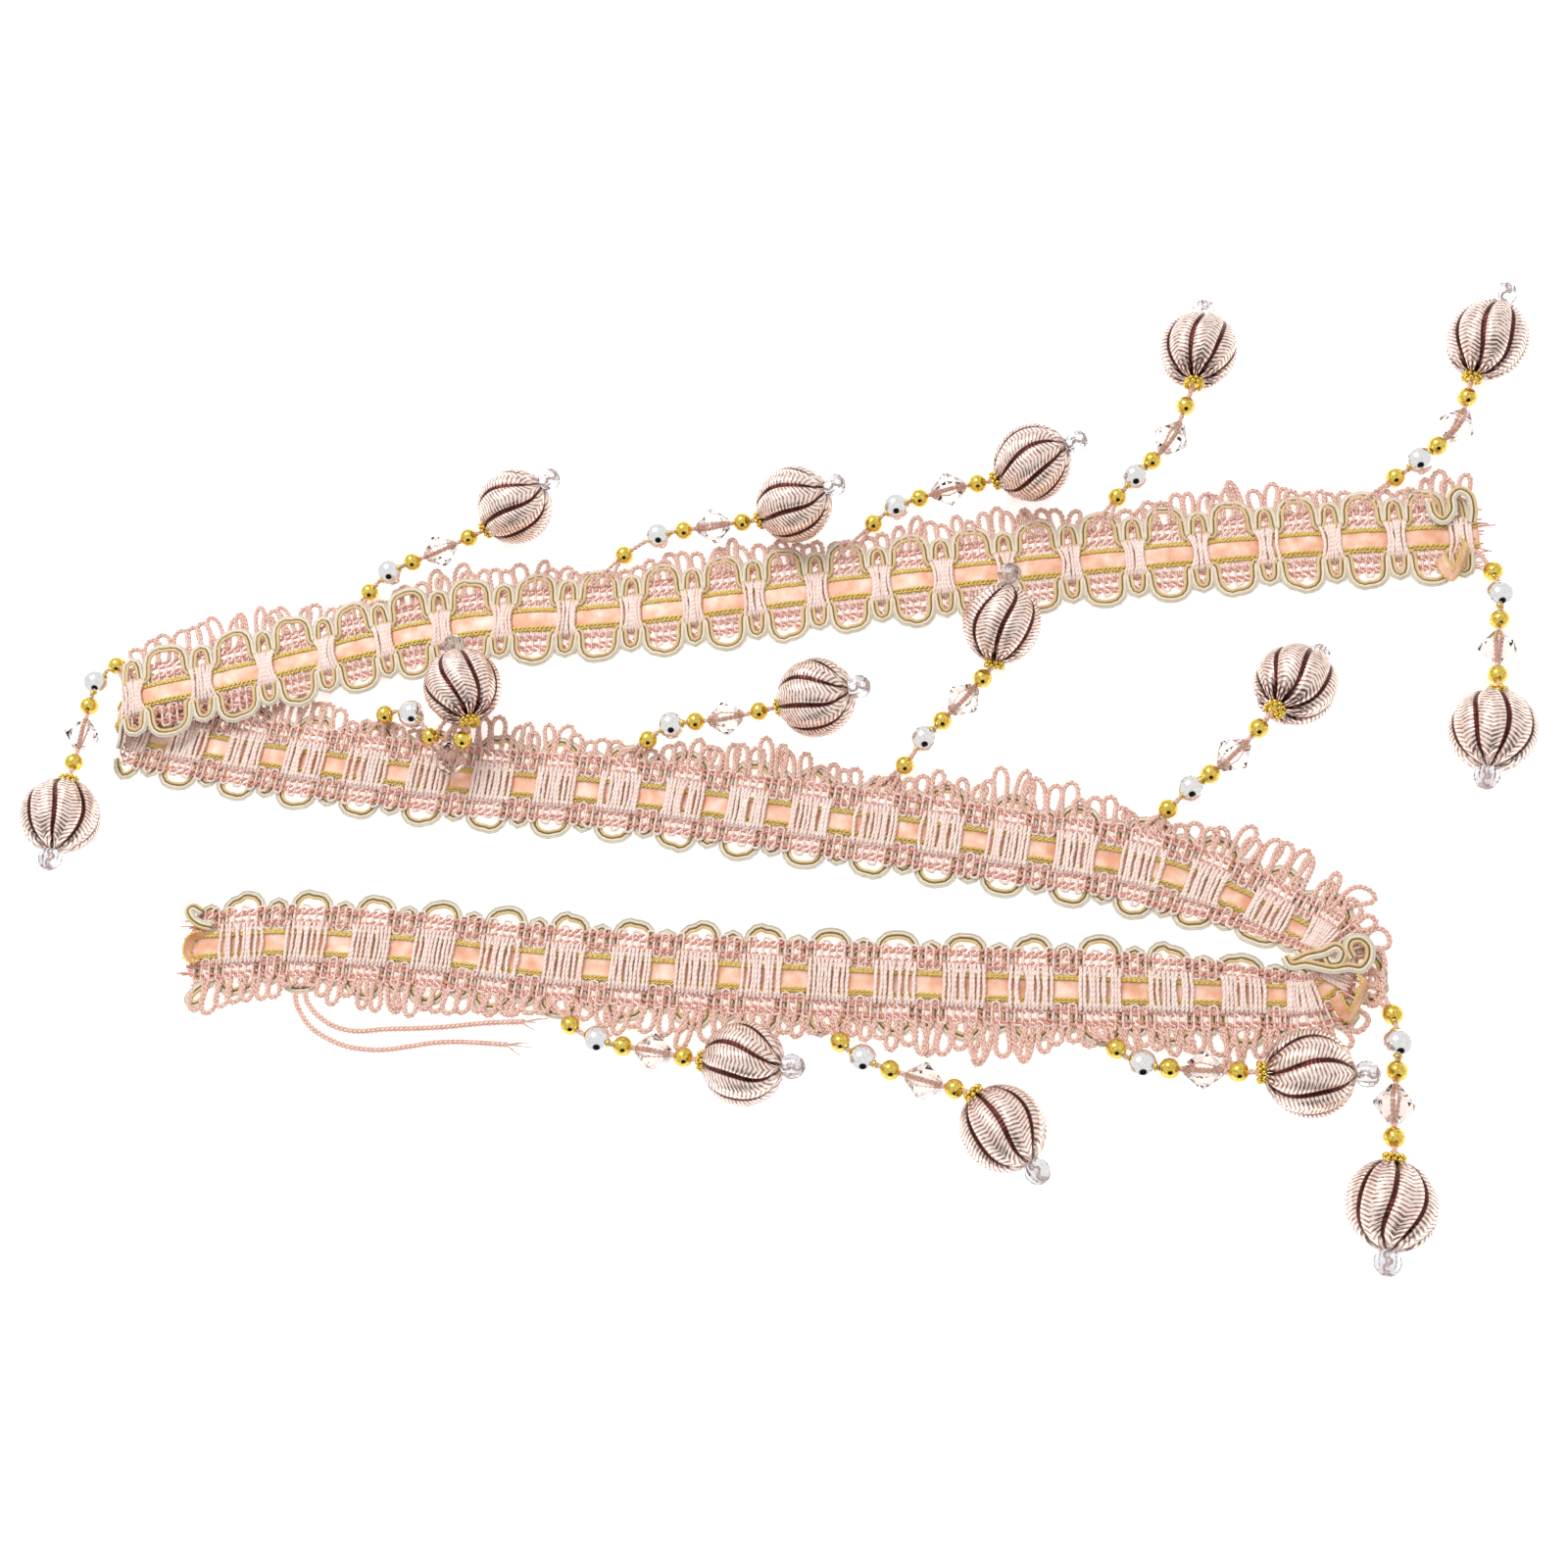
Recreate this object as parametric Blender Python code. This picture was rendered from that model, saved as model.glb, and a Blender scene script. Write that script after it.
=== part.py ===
"""Beaded fringe trim: one metre of braid laid in a Z, with loop fringe and beaded droppers.

The braid lies back side up along its front and middle runs, turns round in its own plane at the
right, folds over at the left, and comes back face up along the top run. Lengths are millimetres
in the tables and metres in the scene. Z is up, and the trim rests on the plane z = 0.
"""

import math

import bmesh
import bpy
import numpy as np
from mathutils import Vector

MM = 0.001
NAME = "beaded_fringe_trim"

# The layout is measured from the middle of the picture; the part's origin is under its own middle.
ORIGIN_X = -6.6
ORIGIN_Y = 7.5

# Braid, across its width: t runs from the plain edge (-) to the fringe edge (+).
TAPE_HALF_THICK = 1.0
RIBBON_GAP = 0.3
RIBBON_HALF_WIDTH = 2.9
RIBBON_HALF_THICK = 0.2
BAND_INNER = 3.3
FRINGE_SIDE_EDGE = 8.6
PLAIN_EDGE = 9.8
PLAIN_PEAK = 12.3
PLAIN_SCALLOP = (
    # offset from the repeat number, distance of the plain edge from the middle
    (-0.315, PLAIN_EDGE),
    (-0.165, PLAIN_PEAK),
    (0.165, PLAIN_PEAK),
    (0.315, PLAIN_EDGE),
    (0.5, 10.7),
)
BAR_HALF = 0.3
CLEAR = 0.3

# Loop fringe
STRIP_INNER = FRINGE_SIDE_EDGE + CLEAR
STRIP_HALF_THICK = 0.75
STRIP_END_DROP = 0.3
LOOP_FEET = (
    # start and scallop height, then end and scallop height, of one foot in the repeat
    (-0.36, 9.9, -0.27, 10.9),
    (-0.10, 12.2, -0.01, 12.3),
    (0.13, 12.2, 0.22, 11.7),
    (0.40, 10.0, 0.49, 10.6),
)
LOOP_OUTLINE = (
    # share of the loop's reach, share of the way from one foot to the other
    (0.0, 0.10),
    (0.55, -0.08),
    (1.0, 0.25),
    (1.0, 0.75),
    (0.55, 1.08),
    (0.0, 0.90),
)
LOOP_SHORT = 1.6
LOOP_LONG = 8.6
LOOP_LEAST = 0.96
LOOP_DRAW_IN = 0.8
LOOP_WOBBLE = 0.15
LOOP_WOBBLE_RATE = 7.3
LOOP_HALF_THICK = 0.7
LOOP_CLEARANCE = LOOP_HALF_THICK * 1.45 + CLEAR
LOOP_LEVEL_BELOW = 1.5
DROPPER_EVERY = 4
DROPPER_PHASE = 2.0
STRIP_SPLIT = 0.03
FRINGE_TO_FOLD = 0.1

# Beads, in the order in which they hang
YARN_RADIUS = 0.8
GOLD_RADIUS = 2.4
SILVER_RADIUS = 3.7
CRYSTAL_RADIUS = 4.6
CAP_RADIUS = 2.7
CAP_HALF = 0.8
CAP_RIM = CAP_HALF * 0.6
CAP_COLLAR = CAP_HALF + 0.2
BALL_RADIUS = 10.0
BALL_POLE = 0.96
BALL_RINGS_DEG = (18, 52, 90, 128, 162)
GROOVE = 0.93
GORES = 8
END_BEAD_RADIUS = 3.0
END_BEAD_HALF = 0.8
END_BEAD_PROFILE = ((-END_BEAD_HALF, 0.5), (-0.4, 0.92), (0.4, 0.92), (END_BEAD_HALF, 0.5))
NECK_TO_CAP = 0.32
STRING_SIDES = 5
TAIL_RADIUS = 0.9
TAIL_CLEARANCE = 0.02
# Place of each bead on the dropper's line, where 0 is the root, 1 the first gold bead, 2 the
# silver bead, 3 the crystal and 4 the cap, and its radius.
BEADS_ON_LINE = (
    (1.0, GOLD_RADIUS),
    (2.0, SILVER_RADIUS),
    (2.48, GOLD_RADIUS),
    (3.0, CRYSTAL_RADIUS),
    (3.6, GOLD_RADIUS),
)
BARE_YARN_AFTER = (0, 3)
# A round bead's end and shoulder: distance from its middle and ring size, as shares of its radius.
BEAD_END = 0.96
BEAD_SHOULDER = 0.45
BEAD_SHOULDER_SIZE = 0.93

# Centreline of the two lower runs: repeat number, x, y, and how much of the plain-edge side's
# width is left where the turn gathers it.
LOWER_RUNS = (
    (0.30, -150.2, -44.3, 1.00),
    (1.50, -129.0, -42.7, 1.00),
    (3.00, -103.5, -43.4, 1.00),
    (6.00, -52.5, -47.4, 1.00),
    (10.0, 13.3, -50.2, 1.00),
    (14.0, 77.9, -51.5, 1.00),
    (15.5, 102.1, -51.4, 0.76),
    (16.5, 118.2, -51.2, 0.50),
    (17.1, 124.8, -51.1, 0.40),
    (17.6, 129.1, -49.2, 0.38),
    (18.1, 130.9, -44.8, 0.38),
    (18.7, 129.2, -40.5, 0.38),
    (19.1, 126.6, -38.6, 0.40),
    (19.6, 121.8, -36.0, 0.50),
    (20.6, 108.2, -28.6, 0.76),
    (21.6, 94.0, -22.9, 1.00),
    (24.0, 56.0, -16.0, 1.00),
    (27.0, 7.2, -9.2, 1.00),
    (30.0, -42.0, -2.8, 1.00),
    (33.0, -93.0, 1.5, 1.00),
    (36.0, -144.5, 8.6, 1.00),
    (37.94, -176.5, 14.1, 1.00),
)
# Centreline of the top run: repeat number, x, y, height of the braid's middle plane.
TOP_RUN = (
    (38.44, -176.5, 21.9, 6.2),
    (39.0, -166.5, 24.3, 5.6),
    (40.0, -148.0, 28.7, 4.8),
    (41.0, -132.5, 32.9, 4.2),
    (42.0, -116.1, 37.1, 3.3),
    (43.0, -101.8, 41.2, 2.2),
    (44.0, -86.0, 44.2, 1.3),
    (46.0, -51.1, 46.2, 1.0),
    (50.0, 14.7, 53.3, 1.0),
    (54.0, 79.6, 59.6, 1.0),
    (58.0, 144.3, 63.9, 1.0),
    (59.7, 170.2, 64.6, 1.0),
)
STRIP_START = LOWER_RUNS[0][0]
FOLD_START = LOWER_RUNS[-1][0]
FOLD_END = TOP_RUN[0][0]
STRIP_END = TOP_RUN[-1][0]
FOLD_RADIUS = (TOP_RUN[0][3] - TAPE_HALF_THICK) / 2
FOLD_STEPS = 5
TURN_START = 16.6
TURN_END = 19.6
TURN_STATIONS = (17.0, 17.5, 18.0, 18.5, 19.0)
# The one braid is four solids, cut beside a bar behind the ribbon.
BRAID_CUTS = (15.3, 20.3, 37.3)
GATHER_LIFT = 3.2
RIBBON_BULGE = 2.2
RIBBON_PAST_START = 0.12
RIBBON_PAST_END = 0.15
RIBBON_NEAR_TURN = 1.5
RIBBON_NEAR_FOLD = 0.8
SLOPE_STEP = 0.05
STATION_MARGIN = 0.04
FOOT_MARGIN = 0.05
# The slanting fold carries the fringe edge this far past a root that hangs from it.
FOLD_SLANT = 0.7

# Droppers: repeat of the root, centres of the first gold bead, silver bead, crystal and ball,
# then the compass bearing and rise of the line from the ball's middle to its neck.
DROPPERS = (
    (6.0, (-48.9, -63.0, 4.4), (-42.1, -66.5, 3.8), (-27.7, -69.0, 4.8), (-4.9, -72.2, 10.0), 176, -12),
    (10.0, (17.0, -65.7, 4.4), (22.4, -69.6, 3.8), (37.1, -74.4, 4.8), (55.4, -85.6, 10.0), 130, -4),
    (14.0, (81.2, -65.9, 4.5), (87.0, -69.4, 3.8), (100.8, -70.4, 4.8), (123.4, -71.4, 10.0), 180, -3),
    (17.95, (143.6, -56.3, 2.6), (144.2, -63.2, 3.8), (142.3, -77.1, 4.8), (139.3, -99.8, 10.0), 82, -6),
    (22.0, (94.3, -7.4, 3.4), (99.8, -2.4, 3.9), (109.8, 4.9, 7.4), (124.4, 21.9, 10.0), -125, 22),
    (26.0, (30.5, 4.1, 2.6), (35.3, 10.6, 3.8), (44.9, 20.6, 4.8), (54.3, 38.3, 11.2), -100, -18),
    (30.0, (-34.8, 10.4, 4.5), (-29.2, 14.6, 3.8), (-14.9, 16.0, 4.8), (8.6, 19.4, 10.0), 184, -24),
    (34.0, (-105.5, 17.6, 4.6), (-98.0, 17.6, 5.0), (-85.4, 4.4, 8.0), (-82.5, 22.2, 12.3), -72, 4),
    (38.32, (-183.4, 32.4, 4.0), (-188.6, 27.5, 3.8), (-189.5, 12.2, 4.8), (-188.3, -12.0, 10.0), 92, -8),
    (42.0, (-115.0, 53.6, 2.6), (-109.5, 58.8, 3.8), (-95.5, 64.5, 4.8), (-74.3, 74.4, 10.0), 208, -22),
    (46.0, (-45.4, 63.2, 2.6), (-36.2, 68.0, 3.8), (-21.4, 70.0, 4.8), (0.7, 73.2, 10.0), 193, -24),
    (50.0, (20.7, 70.9, 2.6), (26.6, 75.0, 3.8), (40.3, 79.0, 4.8), (61.9, 83.4, 10.0), 196, -22),
    (54.0, (83.5, 76.9, 2.6), (88.0, 81.9, 3.8), (97.2, 91.8, 5.6), (104.3, 114.8, 10.0), -98, 4),
    (58.0, (152.5, 80.6, 2.6), (158.2, 84.5, 3.8), (167.8, 93.6, 4.8), (175.5, 114.8, 10.0), -112, -14),
    (59.7, (174.0, 54.2, 2.6), (174.8, 47.2, 3.8), (172.9, 32.8, 4.8), (168.8, 10.0, 10.0), 78, -6),
)
LAST_ROOT_T = -4.6

# Two unbeaded tails of the stringing yarn, from the dropper place nearest the cut end
TAILS = (
    (
        (-119.0, -55.5), (-118.2, -57.9), (-114.8, -61.3), (-109.9, -64.0), (-103.9, -65.0),
        (-96.4, -64.3), (-89.1, -64.0), (-81.8, -63.5), (-71.0, -62.3), (-61.6, -61.8),
    ),
    (
        (-121.6, -55.5), (-120.9, -58.6), (-116.9, -63.8), (-111.1, -67.2), (-104.9, -69.1),
        (-97.3, -69.5), (-90.1, -68.5), (-84.2, -67.5), (-76.9, -67.1), (-65.1, -67.5),
    ),
)
TAIL_POINTS = 17

COLOURS = {
    "braid": ("#E6BBAA", 0.75, 0.0),
    "ribbon": ("#F6C8A6", 0.35, 0.0),
    "loops": ("#EBC6B8", 0.75, 0.0),
    "beads": ("#E3C05A", 0.2, 1.0),
    "ball": ("#C9B2A6", 0.35, 0.6),
    "end": ("#F2F2F2", 0.1, 0.0),
}


def through(rows):
    """A smooth function of the first column that passes through the other columns."""
    table = np.array(rows, dtype=float)
    keys, values = table[:, 0], table[:, 1:]
    slopes = np.gradient(values, keys, axis=0)

    def at(key):
        i = int(np.clip(np.searchsorted(keys, key) - 1, 0, len(keys) - 2))
        span = keys[i + 1] - keys[i]
        f = (key - keys[i]) / span
        if not 0 <= f <= 1:
            end = 0 if f < 0 else 1
            return values[i + end] + slopes[i + end] * (f - end) * span
        rise = 3 * f**2 - 2 * f**3
        ease = slopes[i] * (f - 2 * f**2 + f**3) + slopes[i + 1] * (f**3 - f**2)
        return values[i] * (1 - rise) + values[i + 1] * rise + ease * span

    return at


lower_run = through(LOWER_RUNS)
top_run = through(TOP_RUN)


def in_fold(k):
    return FOLD_START < k < FOLD_END


def centre(k):
    """The middle of the braid at repeat k."""
    if k <= FOLD_START:
        x, y, _ = lower_run(k)
        return np.array((x, y, TAPE_HALF_THICK))
    if k >= FOLD_END:
        x, y, z = top_run(k)
        return np.array((x, y, max(z, TAPE_HALF_THICK)))
    share = (k - FOLD_START) / (FOLD_END - FOLD_START)
    start, end = lower_run(FOLD_START), top_run(FOLD_END)
    x = start[0] + (end[0] - start[0]) * share - FOLD_RADIUS * math.sin(math.pi * share)
    y = start[1] + (end[1] - start[1]) * share
    z = TAPE_HALF_THICK + FOLD_RADIUS * (1 - math.cos(math.pi * share))
    return np.array((x, y, z))


def side_bearing(k):
    """The direction in the plan from the plain edge to the fringe edge."""
    if k >= FOLD_END:
        dx, dy = (top_run(k + SLOPE_STEP) - top_run(k - SLOPE_STEP))[:2]
        return math.atan2(dx, -dy)
    if k <= FOLD_START:
        dx, dy = (lower_run(k + SLOPE_STEP) - lower_run(k - SLOPE_STEP))[:2]
        return math.atan2(-dx, dy)
    share = (k - FOLD_START) / (FOLD_END - FOLD_START)
    return side_bearing(FOLD_START) * (1 - share) + side_bearing(FOLD_END) * share


def strip_frame(k):
    """Middle, side direction and face normal of the braid at repeat k."""
    bearing = side_bearing(k)
    side = np.array((math.cos(bearing), math.sin(bearing), 0.0))
    if in_fold(k):
        turned = math.pi * (k - FOLD_START) / (FOLD_END - FOLD_START)
        flat = np.array((-side[1], side[0], 0.0))
        normal = flat * math.sin(turned) + np.array((0.0, 0.0, -math.cos(turned)))
    else:
        normal = np.array((0.0, 0.0, 1.0 if k > FOLD_START else -1.0))
    return centre(k), side, normal


def on_strip(k, t, n):
    """The point t across and n off the front face of the braid at repeat k."""
    middle, side, normal = strip_frame(k)
    lift = 0.0
    if t < 0 and k < FOLD_START:
        kept = min(lower_run(k)[2], 1.0)
        lift = GATHER_LIFT * (1 - kept) * (t / PLAIN_EDGE) ** 2
        t *= kept
    point = middle + side * t + normal * n
    point[2] += lift
    return point - np.array((ORIGIN_X, ORIGIN_Y, 0.0))


def placed(x, y, z):
    return np.array((x - ORIGIN_X, y - ORIGIN_Y, z))


def material(kind):
    if kind in bpy.data.materials:
        return bpy.data.materials[kind]
    code, roughness, metallic = COLOURS[kind]
    channels = [int(code[i : i + 2], 16) / 255 for i in (1, 3, 5)]
    linear = [c / 12.92 if c <= 0.04045 else ((c + 0.055) / 1.055) ** 2.4 for c in channels]
    made = bpy.data.materials.new(kind)
    made.use_nodes = True
    shader = made.node_tree.nodes["Principled BSDF"]
    shader.inputs["Base Color"].default_value = (*linear, 1.0)
    shader.inputs["Roughness"].default_value = roughness
    shader.inputs["Metallic"].default_value = metallic
    return made


def add_object(name, mesh_builder, kind, smooth=False):
    """Turns a bmesh in millimetres into a named object in metres."""
    bmesh.ops.recalc_face_normals(mesh_builder, faces=mesh_builder.faces)
    bmesh.ops.scale(mesh_builder, vec=(MM, MM, MM), verts=mesh_builder.verts)
    mesh = bpy.data.meshes.new(name)
    mesh_builder.to_mesh(mesh)
    mesh_builder.free()
    mesh.materials.append(material(kind))
    if smooth:
        mesh.shade_smooth()
    obj = bpy.data.objects.new(name, mesh)
    parts.objects.link(obj)
    return obj


def zip_rows(builder, first, second):
    """Fills the band between two rows of (key, vertex) with triangles and quads, in key order."""
    i = j = 0
    while i < len(first) - 1 or j < len(second) - 1:
        next_first = first[i + 1][0] if i < len(first) - 1 else math.inf
        next_second = second[j + 1][0] if j < len(second) - 1 else math.inf
        if abs(next_first - next_second) < 1e-6:
            builder.faces.new((first[i][1], first[i + 1][1], second[j + 1][1], second[j][1]))
            i, j = i + 1, j + 1
        elif next_first < next_second:
            builder.faces.new((first[i][1], first[i + 1][1], second[j][1]))
            i += 1
        else:
            builder.faces.new((first[i][1], second[j + 1][1], second[j][1]))
            j += 1


def repeats(start, end, offsets):
    """Every key k + offset inside the stretch, with its column values."""
    found = []
    for number in range(math.floor(start) - 1, math.ceil(end) + 1):
        for offset, *values in offsets:
            key = number + offset
            if start + STATION_MARGIN < key < end - STATION_MARGIN:
                found.append((key, *values))
    return found


def bar_stations():
    """Keys where the bars across the ribbon change face, with closer ones round the fold and turn."""
    stations = {STRIP_START, STRIP_END}
    stations.update(key for key, in repeats(STRIP_START, STRIP_END, ((-BAR_HALF,), (BAR_HALF,))))
    stations.update(np.linspace(FOLD_START, FOLD_END, FOLD_STEPS + 1))
    stations.update(TURN_STATIONS)
    return sorted(stations)


def make_braid(name, start, end):
    """Two edge bands, joined by wide bars behind the ribbon and narrow bars in front of it."""
    builder = bmesh.new()
    inside = [k for k in bar_stations() if start + STATION_MARGIN < k < end - STATION_MARGIN]
    stations = [start, *inside, end]
    slot = RIBBON_HALF_THICK + RIBBON_GAP
    levels = (-TAPE_HALF_THICK, -slot, slot, TAPE_HALF_THICK)
    middles = [(a + b) / 2 for a, b in zip(stations, stations[1:])]
    behind = [abs(middle - round(middle)) < BAR_HALF for middle in middles]
    inner = {}
    for band in (-1, 1):
        inner[band] = [
            [builder.verts.new(on_strip(k, band * BAND_INNER, n)) for n in levels] for k in stations
        ]
        if band < 0:
            edge = [row for row in repeats(start, end, PLAIN_SCALLOP) if not in_fold(row[0])]
            edge += [(k, PLAIN_EDGE) for k in stations if in_fold(k) or k in (start, end)]
            edge.sort()
        else:
            edge = [(k, FRINGE_SIDE_EDGE) for k in stations]
        outer = [
            [(k, builder.verts.new(on_strip(k, band * t, n))) for k, t in edge]
            for n in (levels[0], levels[-1])
        ]
        for row, level in zip(outer, (0, 3)):
            zip_rows(builder, [(k, column[level]) for k, column in zip(stations, inner[band])], row)
        zip_rows(builder, outer[0], outer[1])
        for i, back in enumerate(behind):
            closed_level = 0 if back else 2
            for level in range(3):
                if level == closed_level:
                    continue
                a, b = inner[band][i], inner[band][i + 1]
                builder.faces.new((a[level], b[level], b[level + 1], a[level + 1]))
        for end in (0, -1):
            builder.faces.new([*inner[band][end], outer[1][end][1], outer[0][end][1]])
    left, right = inner[-1], inner[1]
    for i, back in enumerate(behind):
        low = 0 if back else 2
        high = low + 1
        for level in (low, high):
            builder.faces.new((left[i][level], left[i + 1][level], right[i + 1][level], right[i][level]))
        if i == 0 or behind[i - 1] != back:
            builder.faces.new((left[i][low], left[i][high], right[i][high], right[i][low]))
        j = i + 1
        if j == len(behind) or behind[j] != back:
            builder.faces.new((left[j][low], left[j][high], right[j][high], right[j][low]))
    return add_object(name, builder, "braid")


def near_turn(k, margin):
    return TURN_START - margin < k < TURN_END + margin


def tube(builder, sections, close_ends=True):
    """Joins rings of vertices, each the same count, into a closed tube."""
    for ring, following in zip(sections, sections[1:]):
        count = len(ring)
        for i in range(count):
            j = (i + 1) % count
            builder.faces.new((ring[i], ring[j], following[j], following[i]))
    if close_ends:
        builder.faces.new(sections[0])
        builder.faces.new(sections[-1])


def ribbon_bulge(k):
    """How far the ribbon stands off the outside of the fold, between the bars on each side of it."""
    first, last = FOLD_START, round(FOLD_START) + BAR_HALF
    if not first < k < last:
        return 0.0
    return RIBBON_BULGE * math.sin(math.pi * (k - first) / (last - first)) ** 2


def make_ribbon():
    """The satin ribbon runs between the bars, and bulges out where the braid folds over."""
    bends = [
        k for k in bar_stations() if near_turn(k, RIBBON_NEAR_TURN) or abs(k - FOLD_START) < RIBBON_NEAR_FOLD
    ]
    straights = [k for k in np.arange(1.0, STRIP_END, 1.0) if min(abs(k - bend) for bend in bends) > 0.5]
    builder = bmesh.new()
    sections = []
    for k in sorted([STRIP_START - RIBBON_PAST_START, *bends, *straights, STRIP_END + RIBBON_PAST_END]):
        corners = ((-1, -1), (1, -1), (1, 1), (-1, 1))
        sections.append([
            builder.verts.new(on_strip(k, a * RIBBON_HALF_WIDTH, b * RIBBON_HALF_THICK + ribbon_bulge(k)))
            for a, b in corners
        ])
    tube(builder, sections)
    return add_object("satin_ribbon", builder, "ribbon")


def loop_reach(k):
    """How far a fringe loop stands out: short beside a dropper, longest midway between two."""
    spacings = (k - DROPPER_PHASE) / DROPPER_EVERY
    away = abs(spacings - round(spacings)) * 2
    wobble = 1 - LOOP_WOBBLE + LOOP_WOBBLE * math.sin(LOOP_WOBBLE_RATE * k)
    return (LOOP_SHORT + (LOOP_LONG - LOOP_SHORT) * math.sin(math.pi / 2 * away)) * wobble


def nearest(point, others):
    return min(float(np.linalg.norm(point - spot)) - radius for spot, radius in others)


def loop_points(k_first, k_last, t_root, reach, obstacles):
    """Points of one loop between its feet, drawn in until it is clear, or none if there is no room."""
    width = k_last - k_first
    while reach > LOOP_LEAST:
        points = [
            on_strip(k_first + width * share, t_root + reach * out, 0.0) for out, share in LOOP_OUTLINE
        ]
        for point in points[1:-1]:
            if point[2] < LOOP_LEVEL_BELOW:
                point[2] = LOOP_HALF_THICK
        between = [a + (b - a) * f for a, b in zip(points, points[1:]) for f in (0.0, 0.25, 0.5, 0.75)]
        if min(nearest(point, obstacles) for point in between) > LOOP_CLEARANCE:
            return points[1:-1]
        reach *= LOOP_DRAW_IN
    return []


def make_fringe(name, start, end, obstacles):
    """A narrow strip along the fringe edge, with the loops growing out of its scalloped side."""
    builder = bmesh.new()
    feet = []
    edge = []
    for number in range(math.floor(start) - 1, math.ceil(end) + 1):
        for foot, (u0, t0, u1, t1) in enumerate(LOOP_FEET):
            if start + FOOT_MARGIN < number + u0 and number + u1 < end - FOOT_MARGIN:
                feet.append((foot, len(edge) + 1))
                edge += [(number + u0, t0), (number + u1, t1)]
    edge = [(start, edge[0][1] - STRIP_END_DROP), *edge, (end, edge[-1][1] - STRIP_END_DROP)]
    faces = (-STRIP_HALF_THICK, STRIP_HALF_THICK)
    outer = [[(k, builder.verts.new(on_strip(k, t, n))) for k, t in edge] for n in faces]
    in_turn = [k for k in bar_stations() if near_turn(k, 1.0) and start < k < end]
    inside_keys = sorted({start, end, *in_turn, *[k for k, in repeats(start, end, ((0.0,),))]})
    inner = [[(k, builder.verts.new(on_strip(k, STRIP_INNER, n))) for k in inside_keys] for n in faces]
    for low_row, high_row in zip(inner, outer):
        zip_rows(builder, low_row, high_row)
    zip_rows(builder, inner[0], inner[1])
    for end_index in (0, -1):
        corners = (inner[0], inner[1], outer[1], outer[0])
        builder.faces.new([row[end_index][1] for row in corners])
    opened = set()
    for (foot, first), (_, last) in zip(feet, feet[1:]):
        if foot % 2 or first in opened or last != first + 2:
            continue
        k_first, k_last = edge[first][0], edge[last + 1][0]
        t_root = max(edge[first][1], edge[last + 1][1])
        points = loop_points(k_first, k_last, t_root, loop_reach((k_first + k_last) / 2), obstacles)
        if not points:
            continue
        start_ring, end_ring = [
            [outer[0][a][1], outer[0][b][1], outer[1][b][1], outer[1][a][1]]
            for a, b in ((first, first + 1), (last + 1, last))
        ]
        _, _, normal = strip_frame((k_first + k_last) / 2)
        middle = sum(points) / len(points)
        rings = [start_ring]
        for point in points:
            inward = middle - point
            inward -= normal * float(inward @ normal)
            inward /= np.linalg.norm(inward)
            sides = ((-1, -1), (1, -1), (1, 1), (-1, 1))
            rings.append([
                builder.verts.new(point + (inward * a + normal * b) * LOOP_HALF_THICK) for a, b in sides
            ])
        rings.append(end_ring)
        tube(builder, rings, close_ends=False)
        opened.update((first, last))
    for i in range(len(edge) - 1):
        if i not in opened:
            low, high = outer
            builder.faces.new((low[i][1], low[i + 1][1], high[i + 1][1], high[i][1]))
    return add_object(name, builder, "loops")


def direction(bearing, rise):
    a, b = math.radians(bearing), math.radians(rise)
    return np.array((math.cos(b) * math.cos(a), math.cos(b) * math.sin(a), math.sin(b)))


def string_stations(dropper):
    """Centres and radii along one dropper, from the braid's edge to the cap under the ball."""
    k, first_gold, silver, crystal, ball, bearing, rise = dropper
    neck = direction(bearing, rise)
    cap = placed(*ball) + neck * (BALL_RADIUS + NECK_TO_CAP)
    if k == STRIP_END:
        root = on_strip(k, LAST_ROOT_T, 0.0) + np.array((CLEAR, 0.0, 0.0))
        outward = np.array((1.0, 0.0, 0.0))
    else:
        edge_t = FRINGE_SIDE_EDGE + FOLD_SLANT if in_fold(k) else PLAIN_PEAK
        root = on_strip(k, edge_t + CLEAR, 0.0)
        outward = strip_frame(k)[1]
    waypoints = [root + outward * YARN_RADIUS, placed(*first_gold), placed(*silver), placed(*crystal), cap]
    line = through([(i, *point) for i, point in enumerate(waypoints)])
    stations = [(root, YARN_RADIUS), (line(0.0), YARN_RADIUS)]
    for number, (key, radius) in enumerate(BEADS_ON_LINE):
        spot = line(key)
        along = line(key + SLOPE_STEP) - line(key - SLOPE_STEP)
        along *= radius / np.linalg.norm(along)
        stations.append((spot - along * BEAD_END, YARN_RADIUS))
        if radius == CRYSTAL_RADIUS:
            stations.append((spot, radius))
        else:
            shoulder = radius * BEAD_SHOULDER_SIZE
            stations += [(spot + along * BEAD_SHOULDER * way, shoulder) for way in (-1, 1)]
        if number in BARE_YARN_AFTER:
            stations.append((spot + along * BEAD_END, YARN_RADIUS))
    stations.append((cap + neck * CAP_COLLAR, YARN_RADIUS))
    stations += [(cap + neck * CAP_RIM * way, CAP_RADIUS) for way in (1, -1)]
    return stations


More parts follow.
